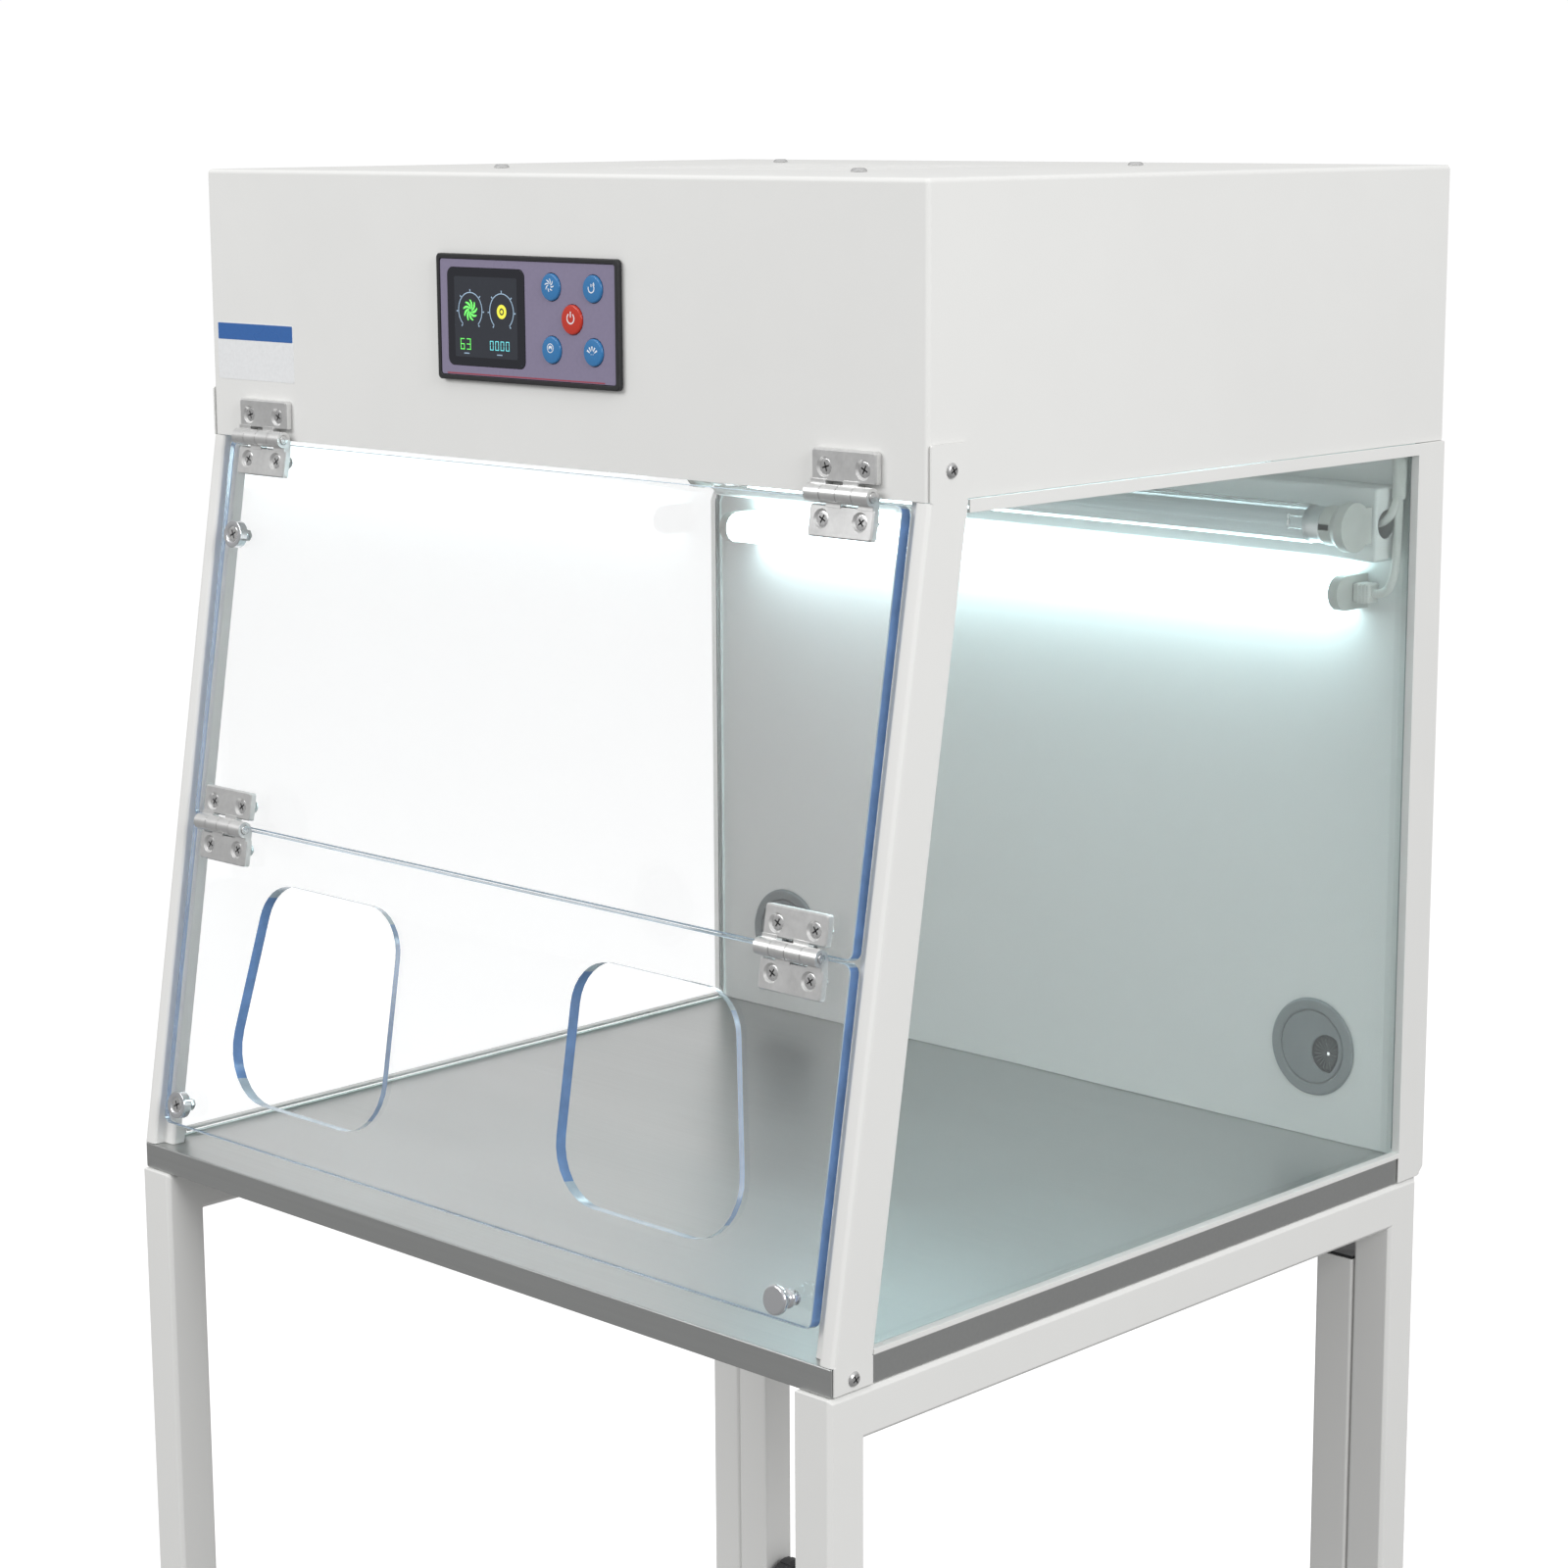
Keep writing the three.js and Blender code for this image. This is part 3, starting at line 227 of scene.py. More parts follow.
def moulded(name, color, roughness, spread=0.05, grain=0.00005):
    paint = Paint(name, color, roughness)
    paint.vary(paint.noise(70, 3), spread)
    paint.roughen(paint.noise(120, 3), roughness * 0.85, roughness * 1.15)
    return paint.bump(paint.noise(1300, 2), grain, 0.5).material


def printed(name, color, roughness=0.35):
    paint = Paint(name, color, roughness)
    paint.vary(paint.noise(400, 2), 0.03)
    return paint.roughen(paint.noise(30, 3), roughness * 0.8, roughness * 1.2).material


def glowing(name, color, strength):
    paint = Paint(name, color, 0.5)
    paint.vary(paint.noise(40, 2), 0.03)
    paint.shader.inputs["Emission Color"].default_value = (*color, 1)
    paint.shader.inputs["Emission Strength"].default_value = strength
    return paint.material


def paper():
    paint = Paint("pleated_paper", (0.80, 0.79, 0.73), 0.9)
    paint.vary(paint.noise(300, 4), 0.05)
    return paint.bump(paint.noise(1500, 3), 0.0001, 0.6).material


POWDER = powder_coat()
STEEL = stainless()
ZINC = zinc()
CHROME = chrome()
SCREW = screw_metal()
RECESS = moulded("screw_recess_shadow", (0.05, 0.05, 0.052), 0.6)
ALUMINIUM = plain_aluminium()
ACRYLIC = clear("clear_acrylic", (0.62, 0.80, 0.98), 1.49, 2.2)
# Both acrylic edge materials glow with painted light. The edges facing sideways are painted bluer and darker
# than the rest: painted shade and light on one edge finish.
ACRYLIC_SIDE = lit_edge("acrylic_sideways_edge_painted_shade_and_glow", (0.16, 0.30, 0.58), 60, 0.10)
ACRYLIC_TOP = lit_edge("acrylic_other_edge_painted_light_and_glow", (0.42, 0.52, 0.60), 60, 0.12)
PANE = clear("side_glass", (0.80, 0.96, 0.90), 1.5, 1.5)
PANE_TINTED = clear("side_glass_tinted", (0.58, 0.86, 0.84), 1.5, 48)
# The glass edges glow with painted light: their emission stands in for light gathered through the pane.
PANE_EDGE = lit_edge("side_glass_edge_painted_glow", (0.74, 0.86, 0.85), 60, 0.30)
QUARTZ = clear("quartz_tube", (0.96, 0.99, 1.0), 1.45, 1.0)
GREY = moulded("grey_moulding", (0.22, 0.235, 0.24), 0.5)
PALE = moulded("pale_moulding", (0.56, 0.56, 0.53), 0.45)
BLACK = moulded("black_moulding", (0.014, 0.014, 0.016), 0.42)
BRISTLE = moulded("black_bristle", (0.012, 0.012, 0.013), 0.6)
GREY_BRISTLE = moulded("grey_bristle", (0.16, 0.165, 0.17), 0.6)
SHEATH = moulded("white_cable_sheath", (0.68, 0.67, 0.64), 0.5)
MEMBRANE = printed("membrane_grey", (0.245, 0.215, 0.32), 0.32)
GLOSS_SCREEN = printed("screen_window", (0.012, 0.013, 0.02), 0.09)
LCD = printed("lcd_ground", (0.03, 0.034, 0.045), 0.2)
KEY_BLUE = printed("key_blue", (0.035, 0.19, 0.44), 0.25)
KEY_RED = printed("key_red", (0.55, 0.035, 0.018), 0.25)
LINE_RED = printed("line_red", (0.36, 0.05, 0.08))
LABEL_WHITE = printed("label_white", (0.82, 0.83, 0.84), 0.3)
LABEL_BLUE = printed("label_blue", (0.03, 0.13, 0.40), 0.3)
DIFFUSER = glowing("opal_diffuser", (0.74, 0.95, 1.0), 7.0)
SHOW_GREEN = glowing("display_green", (0.14, 0.72, 0.12), 0.8)
SHOW_YELLOW = glowing("display_yellow", (0.62, 0.60, 0.05), 0.7)
SHOW_TEAL = glowing("display_teal", (0.16, 0.62, 0.66), 0.7)
SHOW_PALE = glowing("display_pale", (0.30, 0.42, 0.55), 0.35)
ICON_WHITE = printed("icon_white", (0.85, 0.88, 0.92), 0.3)
PAPER = paper()


# ------------------------------------------------------------------ making pieces
def finish_mesh(name, bm, materials, body, replaces=(), smooth_angle=38, matrix=None):
    """Turns a bmesh into a piece that rides on a body."""
    if matrix is not None:
        bmesh.ops.transform(bm, matrix=matrix, verts=bm.verts)
    bmesh.ops.recalc_face_normals(bm, faces=bm.faces)
    mesh = bpy.data.meshes.new(name)
    bm.to_mesh(mesh)
    bm.free()
    mesh.shade_smooth()
    mesh.set_sharp_from_angle(angle=math.radians(smooth_angle))
    for material in materials if isinstance(materials, (list, tuple)) else [materials]:
        mesh.materials.append(material)
    piece = bpy.data.objects.new(name, mesh)
    bpy.context.collection.objects.link(piece)
    weighted = piece.modifiers.new("weighted", "WEIGHTED_NORMAL")
    weighted.keep_sharp = True
    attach(piece, body)
    if replaces:
        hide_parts(*replaces)
    return piece


def refined(node, materials, bevel, segments=2, sharp=30, pick=None, suffix="_finish", cut_above=None):
    """A copy of a CAD solid with its flat faces made whole and its edges softly rounded."""
    bm = bmesh.new()
    bm.from_mesh(frame["nodes"][node].data)
    bmesh.ops.remove_doubles(bm, verts=bm.verts, dist=2e-6)
    if cut_above is not None:
        everything = bm.verts[:] + bm.edges[:] + bm.faces[:]
        cut = bmesh.ops.bisect_plane(
            bm, geom=everything, plane_co=(0, 0, cut_above), plane_no=(0, 0, 1), clear_outer=True
        )
        rims = [part for part in cut["geom_cut"] if isinstance(part, bmesh.types.BMEdge)]
        bmesh.ops.holes_fill(bm, edges=rims)
    bmesh.ops.dissolve_limit(bm, angle_limit=math.radians(0.6), verts=bm.verts, edges=bm.edges)
    if bevel:
        edges = []
        for edge in bm.edges:
            if len(edge.link_faces) == 2 and edge.calc_face_angle() > math.radians(sharp):
                edges.append(edge)
        bmesh.ops.bevel(
            bm, geom=edges, offset=bevel, segments=segments, profile=0.6, affect="EDGES", clamp_overlap=True
        )
    if pick:
        bm.normal_update()
        for face in bm.faces:
            face.material_index = pick(face)
    return finish_mesh(node + suffix, bm, materials, BODY_OF[node], [node])


def ring_of(bm, radius, height, segments):
    points = []
    for i in range(segments):
        angle = 2 * math.pi * i / segments
        points.append(bm.verts.new((radius * math.cos(angle), radius * math.sin(angle), height)))
    return points


def lathe(bm, profile, segments=48):
    """Turns (radius, height) pairs about Z, capping whichever ends lie on the axis."""
    previous = None
    for radius, height in profile:
        ring = [bm.verts.new((0, 0, height))] if radius < 1e-9 else ring_of(bm, radius, height, segments)
        if previous is not None:
            join_rings(bm, previous, ring, segments)
        previous = ring


def join_rings(bm, a, b, segments):
    for i in range(segments):
        j = (i + 1) % segments
        if len(a) == 1 and len(b) == 1:
            return
        if len(a) == 1:
            bm.faces.new((a[0], b[i], b[j]))
        elif len(b) == 1:
            bm.faces.new((a[i], a[j], b[0]))
        else:
            bm.faces.new((a[i], a[j], b[j], b[i]))


def rounded_profile(points, radius=0.0005, steps=3):
    """Rounds the inner corners of a lathe profile."""
    vectors = [Vector(p) for p in points]
    result = [vectors[0]]
    for i in range(1, len(vectors) - 1):
        here = vectors[i]
        back = vectors[i - 1] - here
        ahead = vectors[i + 1] - here
        trim = min(radius, back.length * 0.45, ahead.length * 0.45)
        start = here + back.normalized() * trim
        end = here + ahead.normalized() * trim
        for k in range(steps + 1):
            t = k / steps
            result.append(start * (1 - t) ** 2 + here * 2 * t * (1 - t) + end * t * t)
    result.append(vectors[-1])
    return [(max(0.0, v.x), v.y) for v in result]


def box_bm(bm, lo, hi, bevel=0.0, segments=2):
    made = bmesh.ops.create_cube(bm, size=1)["verts"]
    size = Vector(hi) - Vector(lo)
    middle = (Vector(hi) + Vector(lo)) / 2
    bmesh.ops.scale(bm, vec=size, verts=made)
    bmesh.ops.translate(bm, vec=middle, verts=made)
    if bevel:
        edges = {edge for vert in made for edge in vert.link_edges}
        bmesh.ops.bevel(bm, geom=list(edges), offset=bevel, segments=segments, profile=0.5, affect="EDGES")


def plate_outline(width, height, radius, steps=6):
    """Corner-rounded rectangle, centred, as (u, v) pairs."""
    points = []
    for k, (su, sv) in enumerate([(1, 1), (-1, 1), (-1, -1), (1, -1)]):
        centre = Vector((su * (width / 2 - radius), sv * (height / 2 - radius)))
        for i in range(steps + 1):
            angle = math.pi / 2 * (k + i / steps)
            points.append((centre.x + radius * math.cos(angle), centre.y + radius * math.sin(angle)))
    return points


def slab(bm, outline, thickness, index=0):
    """A flat prism from an outline in (x, y), standing from z 0 to its thickness."""
    lower = [bm.verts.new((u, v, 0)) for u, v in outline]
    upper = [bm.verts.new((u, v, thickness)) for u, v in outline]
    made = [bm.faces.new(list(reversed(lower))), bm.faces.new(upper)]
    for i in range(len(outline)):
        j = (i + 1) % len(outline)
        made.append(bm.faces.new((lower[i], lower[j], upper[j], upper[i])))
    for face in made:
        face.material_index = index


def merge_into(bm, part):
    """Adds a finished part to a piece and frees it."""
    mesh = bpy.data.meshes.new("part")
    part.to_mesh(mesh)
    part.free()
    bm.from_mesh(mesh)
    bpy.data.meshes.remove(mesh)


def facing(place, normal, spin=0.0):
    """A matrix that stands local +Z along a normal at a place."""
    turn = Vector(normal).to_track_quat("Z", "Y").to_matrix().to_4x4()
    return Matrix.Translation(place) @ turn @ Matrix.Rotation(spin, 4, "Z")


# ------------------------------------------------------------------ screws
def cross_outline(reach, width):
    r, w = reach, width / 2
    return [
        (w, w), (w, r), (-w, r), (-w, w), (-r, w), (-r, -w),
        (-w, -w), (-w, -r), (w, -r), (w, -w), (r, -w), (r, w),
    ]


def screw_into(bm, matrix, radius, dome, shank=0.0, shank_radius=0.0022, segments=28):
    """A cross-recess head. With no dome the head is a countersunk cone, flush with its surface."""
    part = bmesh.new()
    flat = radius * (0.62 if dome else 0.93)
    steps = 5
    rings = []
    if dome:
        rings.append(ring_of(part, radius * 0.96, 0, segments))
        for i in range(steps + 1):
            t = i / steps
            r = radius + (flat - radius) * t
            height = dome * (0.25 + 0.75 * math.sin(t * math.pi / 2))
            rings.append(ring_of(part, r, height, segments))
    else:
        rings.append(ring_of(part, shank_radius, -(radius - shank_radius) * 0.9, segments))
        rings.append(ring_of(part, radius, -0.0002, segments))
        rings.append(ring_of(part, flat, 0, segments))
    for a, b in zip(rings, rings[1:]):
        join_rings(part, a, b, segments)
    level = dome if dome else 0.0
    cross = [part.verts.new((u, v, level)) for u, v in cross_outline(radius * 0.58, radius * 0.2)]
    deep = [part.verts.new((v.co.x * 0.55, v.co.y * 0.55, level - radius * 0.42)) for v in cross]
    count = len(cross)
    rim = [part.edges.new((cross[i], cross[(i + 1) % count])) for i in range(count)]
    for i in range(count):
        j = (i + 1) % count
        part.faces.new((cross[i], cross[j], deep[j], deep[i])).material_index = 1
    part.faces.new(deep).material_index = 1
    part.edges.ensure_lookup_table()
    last = rings[-1]
    rim += [part.edges.get((last[i], last[(i + 1) % segments])) for i in range(segments)]
    bmesh.ops.triangle_fill(part, use_beauty=True, use_dissolve=False, edges=rim)
    if shank:
        start = -(radius - shank_radius) * 0.9 if not dome else 0.0
        top = rings[0] if not dome else ring_of(part, shank_radius, start, segments)
        if dome:
            join_rings(part, rings[0], top, segments)
        end = ring_of(part, shank_radius, -shank, segments)
        join_rings(part, top, end, segments)
        part.faces.new(end)
    else:
        part.faces.new(rings[0])
    bmesh.ops.recalc_face_normals(part, faces=part.faces)
    bmesh.ops.transform(part, matrix=matrix, verts=part.verts)
    merge_into(bm, part)


def cap_nut_into(bm, matrix, radius=0.0045, height=0.0042):
    """A hexagon nut with a low domed end."""
    part = bmesh.new()
    lathe(part, [(0, 0), (radius, 0), (radius, height * 0.75), (radius * 0.86, height), (0, height)], 6)
    bmesh.ops.transform(part, matrix=matrix, verts=part.verts)
    merge_into(bm, part)


# ------------------------------------------------------------------ sheet metal
def sheet_metal():
    for node in ("housing_shell", "rear_cover", "ceiling_panel", "back_wall"):
        refined(node, POWDER, 0.0003, 1)
    for node in ("left_front_post", "right_front_post", "left_side_frame", "right_side_frame"):
        refined(node, POWDER, 0.0004, 2)
    for node in ("stand_left", "stand_right"):
        refined(node, POWDER, 0.0008, 2)
    refined("back_frame", POWDER, 0.0006, 2)
    refined("uv_batten", POWDER, 0.0004, 2)
    refined("worktop", STEEL, 0.0005, 2)


def side_sealing_line():
    """The soft grey strip that beds each side pane in its frame."""
    for side, x in (("left", -1), ("right", 1)):
        bm = bmesh.new()
        edge = high("right_glass").x if x > 0 else low("left_glass").x
        y = low("back_wall").y - 0.0052
        inner, outer = sorted((edge, edge + x * 0.0003))
        box_bm(bm, (inner, y, WORK + 0.006), (outer, y + 0.0006, ROOF - 0.008))
        finish_mesh(side + "_pane_bedding", bm, GREY, ROOT)


# ------------------------------------------------------------------ clear sheets
# Broad faces stay clear. Edges facing sideways get the darker blue edge material and all other edges the
# paler one: painted shade and light on one edge finish.
def acrylic_face(face):
    normal = SLOPED.to_3x3().transposed() @ face.normal
    if abs(normal.y) > 0.9:
        return 0
    return 1 if abs(normal.x) > 0.75 else 2


def doors():
    for node in ("upper_door", "lower_door"):
        refined(node, [ACRYLIC, ACRYLIC_SIDE, ACRYLIC_TOP], 0.0, pick=acrylic_face)


def pane_face(face):
    return 0 if abs(face.normal.x) > 0.9 else 1


def panes():
    refined("left_glass", [PANE, PANE_EDGE], 0.0, pick=pane_face)
    refined("right_glass", [PANE_TINTED, PANE_EDGE], 0.0, pick=pane_face)


# ------------------------------------------------------------------ hinges and door fittings
HINGE_X = 0.266
HINGE_SCREW = (0.015, 0.0146)
DOOR_FRONT = -0.0005
DOOR_THICK = 0.008
GAP = 0.0003  # clearance between pieces that touch
LEAF_THICK = 0.0047
PIN_OUT = 0.007  # the pin's axis, before the door's face
LEAF_FRONT = PIN_OUT - GAP - LEAF_THICK  # how far a leaf's face lies behind the pin's axis
SEAM = 0.26145
MAGNET_X, MAGNET_DOWN = -0.287, 0.066
KNOB_X, KNOB_DOWN = 0.2885, 0.458


def hinges():
    for side in ("left", "right"):
        for place in ("top", "mid"):
            leaves = ("fixed_leaf", "door_leaf") if place == "top" else ("upper_leaf", "lower_leaf")
            for leaf in leaves:
                refined(f"{place}_hinge_{side}_{leaf}", ZINC, 0.0005, 2)
            pin_piece(f"{place}_hinge_{side}_pin")


def pin_piece(node):
    lo, hi = low(node), high(node)
    radius = 0.003
    length = hi.x - lo.x
    bm = bmesh.new()
    lathe(bm, rounded_profile([(0, 0), (radius, 0), (radius, length), (0, length)], 0.0004), 32)
    middle = (lo + hi) / 2
    matrix = facing((lo.x, middle.y, middle.z), (1, 0, 0))
    finish_mesh(node + "_finish", bm, SCREW, BODY_OF[node], [node], matrix=matrix)


HEAD_RADIUS = 0.0047
HEAD_DEPTH = 0.0012
NUT_RADIUS = 0.0042
NUT_HEIGHT = 0.0036
PIN_SETBACK = 0.0075  # how far the top hinges' pins stand in front of the sloped plane


def hinge_screws():
    dx, dz = HINGE_SCREW
    face = DOOR_FRONT - PIN_OUT + LEAF_FRONT
    out = (0, -1, 0)
    for side, sign in (("left", -1), ("right", 1)):
        x = sign * HINGE_X
        spins = [0.3, 1.1, 0.7, 0.15]
        bm = bmesh.new()
        pin_y = FRONT - PIN_SETBACK * math.cos(SLOPE)
        pin_z = ROOF + PIN_SETBACK * math.sin(SLOPE)
        depth = PIN_SETBACK * math.cos(SLOPE) - GAP - LEAF_THICK
        for i, step in enumerate((-dx, dx)):
            place = (x + step, pin_y + depth + HEAD_DEPTH, pin_z + dz)
            screw_into(bm, facing(place, out, spins[i]), HEAD_RADIUS, 0.0)
        finish_mesh(f"top_hinge_{side}_wall_screws", bm, [SCREW, RECESS], ROOT)
        for place, body, rows in (
            ("top", "upper_door", [-dz]),
            ("seam_upper", "upper_door", [-SEAM + dz]),
            ("seam_lower", "lower_door", [-SEAM - dz]),
        ):
            bm = bmesh.new()
            for row in rows:
                for i, step in enumerate((-dx, dx)):
                    spot = (x + step, face + HEAD_DEPTH, row)
                    screw_into(bm, facing(spot, out, spins[i + 1]), HEAD_RADIUS, 0.0, shank=0.0117)
                    behind = (x + step, DOOR_FRONT + DOOR_THICK, row)
                    cap_nut_into(bm, facing(behind, (0, 1, 0)), NUT_RADIUS, NUT_HEIGHT)
            finish_mesh(f"hinge_{side}_{place}_screws", bm, [SCREW, RECESS], body, matrix=SLOPED)


def magnets():
    for node, s in (("upper_magnet", MAGNET_DOWN), ("lower_magnet", 2 * SEAM - MAGNET_DOWN)):
        bm = bmesh.new()
        profile = [(0.0027, 0), (0.0092, 0), (0.0092, 0.0065), (0.006, 0.0065), (0.0027, 0.0033), (0.0027, 0)]
        lathe(bm, rounded_profile(profile, 0.0006), 48)
        spot = (MAGNET_X, DOOR_FRONT - GAP, -s)
        matrix = SLOPED @ facing(spot, (0, -1, 0))
        bmesh.ops.remove_doubles(bm, verts=bm.verts, dist=1e-7)
        finish_mesh(node + "_ring", bm, CHROME, BODY_OF[node], [node], matrix=matrix)
        bm = bmesh.new()
        head = (MAGNET_X, DOOR_FRONT - GAP - 0.0058, -s)
        screw_into(bm, facing(head, (0, -1, 0), 0.5), 0.0053, 0.0, shank=0.0145)
        behind = (MAGNET_X, DOOR_FRONT + DOOR_THICK, -s)
        cap_nut_into(bm, facing(behind, (0, 1, 0)), NUT_RADIUS, NUT_HEIGHT)
        finish_mesh(node + "_screw", bm, [SCREW, RECESS], BODY_OF[node], matrix=SLOPED)


def knob():
    bm = bmesh.new()
    profile = [
        (0, 0), (0.0059, 0), (0.0059, 0.0016), (0.0043, 0.003), (0.0042, 0.0054), (0.0060, 0.0073),
        (0.0084, 0.0087), (0.0089, 0.0097), (0.0089, 0.0118), (0.0080, 0.0128), (0, 0.0130),
    ]
    lathe(bm, rounded_profile(profile, 0.0008, 4), 64)
    matrix = SLOPED @ facing((KNOB_X, DOOR_FRONT - GAP, -KNOB_DOWN), (0, -1, 0))
    finish_mesh("pull_knob_finish", bm, CHROME, "lower_door", ["pull_knob"], matrix=matrix)
    bm = bmesh.new()
    spot = (KNOB_X, DOOR_FRONT + DOOR_THICK, -KNOB_DOWN)
    screw_into(bm, facing(spot, (0, 1, 0), 0.2), 0.0045, 0.0022, shank=0.008)
    finish_mesh("pull_knob_screw", bm, [SCREW, RECESS], "lower_door", matrix=SLOPED)


def cabinet_screws():
    bm = bmesh.new()
    for x in (-0.162, 0.162):
        for y in (0.120, 0.386):
            place = (x, FRONT + y, TOP + 0.0002)
            screw_into(bm, facing(place, (0, 0, 1), 0.4 + 9 * x * y), 0.0052, 0.0022)
    finish_mesh("housing_top_screws", bm, [SCREW, RECESS], ROOT)
    for side, sign in (("left", -1), ("right", 1)):
        bm = bmesh.new()
        skin = high("right_front_post").x
        for y, z in ((0.0176, ROOF + 0.0169), (-0.0632, WORK - 0.0096)):
            spot = (sign * skin, FRONT + y, z)
            screw_into(bm, facing(spot, (sign, 0, 0), 0.5), 0.0046, 0.0019)
        finish_mesh(side + "_post_screws", bm, [SCREW, RECESS], ROOT)
    bm = bmesh.new()
    back = high("rear_cover").y
    for x in (-0.305, 0, 0.305):
        for z in (ROOF + 0.012, TOP - 0.012):
            screw_into(bm, facing((x, back, z), (0, 1, 0), 0.3), 0.0042, 0.0019)
    finish_mesh("rear_cover_screws", bm, [SCREW, RECESS], ROOT)


# ------------------------------------------------------------------ control panel
PANEL_FACE = low("control_overlay").y  # front of the printed overlay


def on_panel(x, z, lift=0.0):
    """Stands local +Z out of the panel's front, with local +Y up."""
    turn = Matrix(((1, 0, 0, 0), (0, 0, -1, 0), (0, 1, 0, 0), (0, 0, 0, 1)))
    return Matrix.Translation((x, PANEL_FACE - lift, z)) @ turn


def control_panel():
    refined("control_housing", BLACK, 0.0004, 2)
    refined("control_overlay", MEMBRANE, 0.00015, 1)
    refined("display_lens", GLOSS_SCREEN, 0.0002, 2)
    for node, material, slot in (
        ("fan_button", KEY_BLUE, "blue_key"),
        ("timer_button", KEY_BLUE, "blue_key"),
        ("power_button", KEY_RED, "red_key"),
        ("uv_button", KEY_BLUE, "blue_key"),
        ("light_button", KEY_BLUE, "blue_key"),
    ):
        button(node, material)
    red_line()
    display_graphics()
    key_icons()


def button(node, material):
    lo, hi = low(node), high(node)
    radius = (hi.x - lo.x) / 2 if node != "power_button" else 0.0091
    radius = min(radius * 1.01, 0.0091)
    depth = hi.y - lo.y
    bm = bmesh.new()
    profile = [
        (0, 0), (radius, 0), (radius, depth * 0.62),
        (radius * 0.93, depth * 0.86), (radius * 0.6, depth * 0.97), (0, depth),
    ]
    lathe(bm, rounded_profile(profile, 0.0007, 4), 48)
    middle = (lo + hi) / 2
    matrix = facing((middle.x, hi.y, middle.z), (0, -1, 0))
    finish_mesh(node + "_cap", bm, material, BODY_OF[node], [node], matrix=matrix)


def red_line():
    bm = bmesh.new()
    slab(bm, plate_outline(0.145, 0.0008, 0.0003), 0.00012)
    finish_mesh("panel_red_line", bm, LINE_RED, ROOT, matrix=on_panel(-0.0043, ROOF + 0.0537))


def arc_band(bm, inner, outer, start, end, index, thickness, centre):
    steps = 20
    outline = []
    for i in range(steps + 1):
        angle = start + (end - start) * i / steps
        outline.append((centre[0] + outer * math.cos(angle), centre[1] + outer * math.sin(angle)))
    for i in range(steps + 1):
        angle = end + (start - end) * i / steps
        outline.append((centre[0] + inner * math.cos(angle), centre[1] + inner * math.sin(angle)))
    slab(bm, outline, thickness, index)


SEGMENTS = {"0": "abcdef", "6": "acdefg", "3": "abcdg"}


def digit(bm, text, at, size, thickness, index):
    """Seven-segment figures."""
    w, h = size
    t = w * 0.2
    bars = {
        "a": (0, h, w, h - t), "b": (w - t, h, w, h / 2), "c": (w - t, h / 2, w, 0), "d": (0, t, w, 0),
        "e": (0, h / 2, t, 0), "f": (0, h, t, h / 2), "g": (0, h / 2 + t / 2, w, h / 2 - t / 2),
    }
    for i, char in enumerate(text):
        for name in SEGMENTS[char]:
            x0, y1, x1, y0 = bars[name]
            gap = t * 0.18
            left = at[0] + i * w * 1.45
            corners = [(x0 + gap, y0 + gap), (x1 - gap, y0 + gap), (x1 - gap, y1 - gap), (x0 + gap, y1 - gap)]
            slab(bm, [(left + u, at[1] + v) for u, v in corners], thickness, index)


def ring_gauge(bm, centre, thickness, index):
    """A thin dial: an open ring with short ticks outside it."""
    radius = 0.0108
    start, end = math.radians(-50), math.radians(230)
    arc_band(bm, radius, radius + 0.0006, start, end, index, thickness, centre)
    ticks = 7
    for i in range(ticks):
        angle = start + (end - start) * i / (ticks - 1)
        arc_band(bm, radius + 0.0008, radius + 0.0022, angle - 0.03, angle + 0.03, index, thickness, centre)


def swirl(bm, centre, inner, outer, blades, width, lean, thickness, index):
    """Curved fan blades."""
    for i in range(blades):
        base = 2 * math.pi * i / blades
        left, right = [], []
        for k in range(5):
            t = k / 4
            r = inner + (outer - inner) * t
            spread = width * (0.35 + 0.65 * math.sin(math.pi * min(1, 0.25 + 0.75 * t)))
            angle = base + lean * t
            left.append((centre[0] + r * math.cos(angle - spread), centre[1] + r * math.sin(angle - spread)))
            right.append((centre[0] + r * math.cos(angle + spread), centre[1] + r * math.sin(angle + spread)))
        slab(bm, left + right[::-1], thickness, index)


def display_graphics():
    lens = (low("display_lens") + high("display_lens")) / 2
    lens_face = PANEL_FACE - low("display_lens").y
    bm = bmesh.new()
    slab(bm, plate_outline(0.0586, 0.0498, 0.0012), 0.00005)
    finish_mesh("display_ground", bm, LCD, ROOT, matrix=on_panel(lens.x, lens.z, lens_face))
    thin = 0.00008
    green, yellow, teal, pale = range(4)
    bm = bmesh.new()
    fan, sun = (-0.0144, 0.0041), (0.0150, 0.0041)
    ring_gauge(bm, fan, thin, pale)
    ring_gauge(bm, sun, thin, pale)
    swirl(bm, fan, 0.0010, 0.0066, 9, 0.24, 0.9, thin, green)
    arc_band(bm, 0.0022, 0.0044, 0, 2 * math.pi - 0.001, yellow, thin, sun)
    arc_band(bm, 0.0002, 0.0012, 0, 2 * math.pi - 0.001, yellow, thin, sun)
    digit(bm, "63", (-0.0243, -0.0205), (0.0040, 0.0072), thin, green)
    digit(bm, "0000", (0.0035, -0.0200), (0.0034, 0.0060), thin, teal)
    for x in (-0.0185, 0.0125):
        slab(bm, [(u + x, v - 0.0226) for u, v in plate_outline(0.0050, 0.0006, 0.0002, 1)], thin, pale)
    matrix = on_panel(lens.x, lens.z, lens_face + 0.00005)
    materials = [SHOW_GREEN, SHOW_YELLOW, SHOW_TEAL, SHOW_PALE]
    finish_mesh("display_figures", bm, materials, ROOT, matrix=matrix)


def draw_fan(bm, thin):
    swirl(bm, (0, 0.0012), 0.0008, 0.0040, 8, 0.2, 0.7, thin, 0)


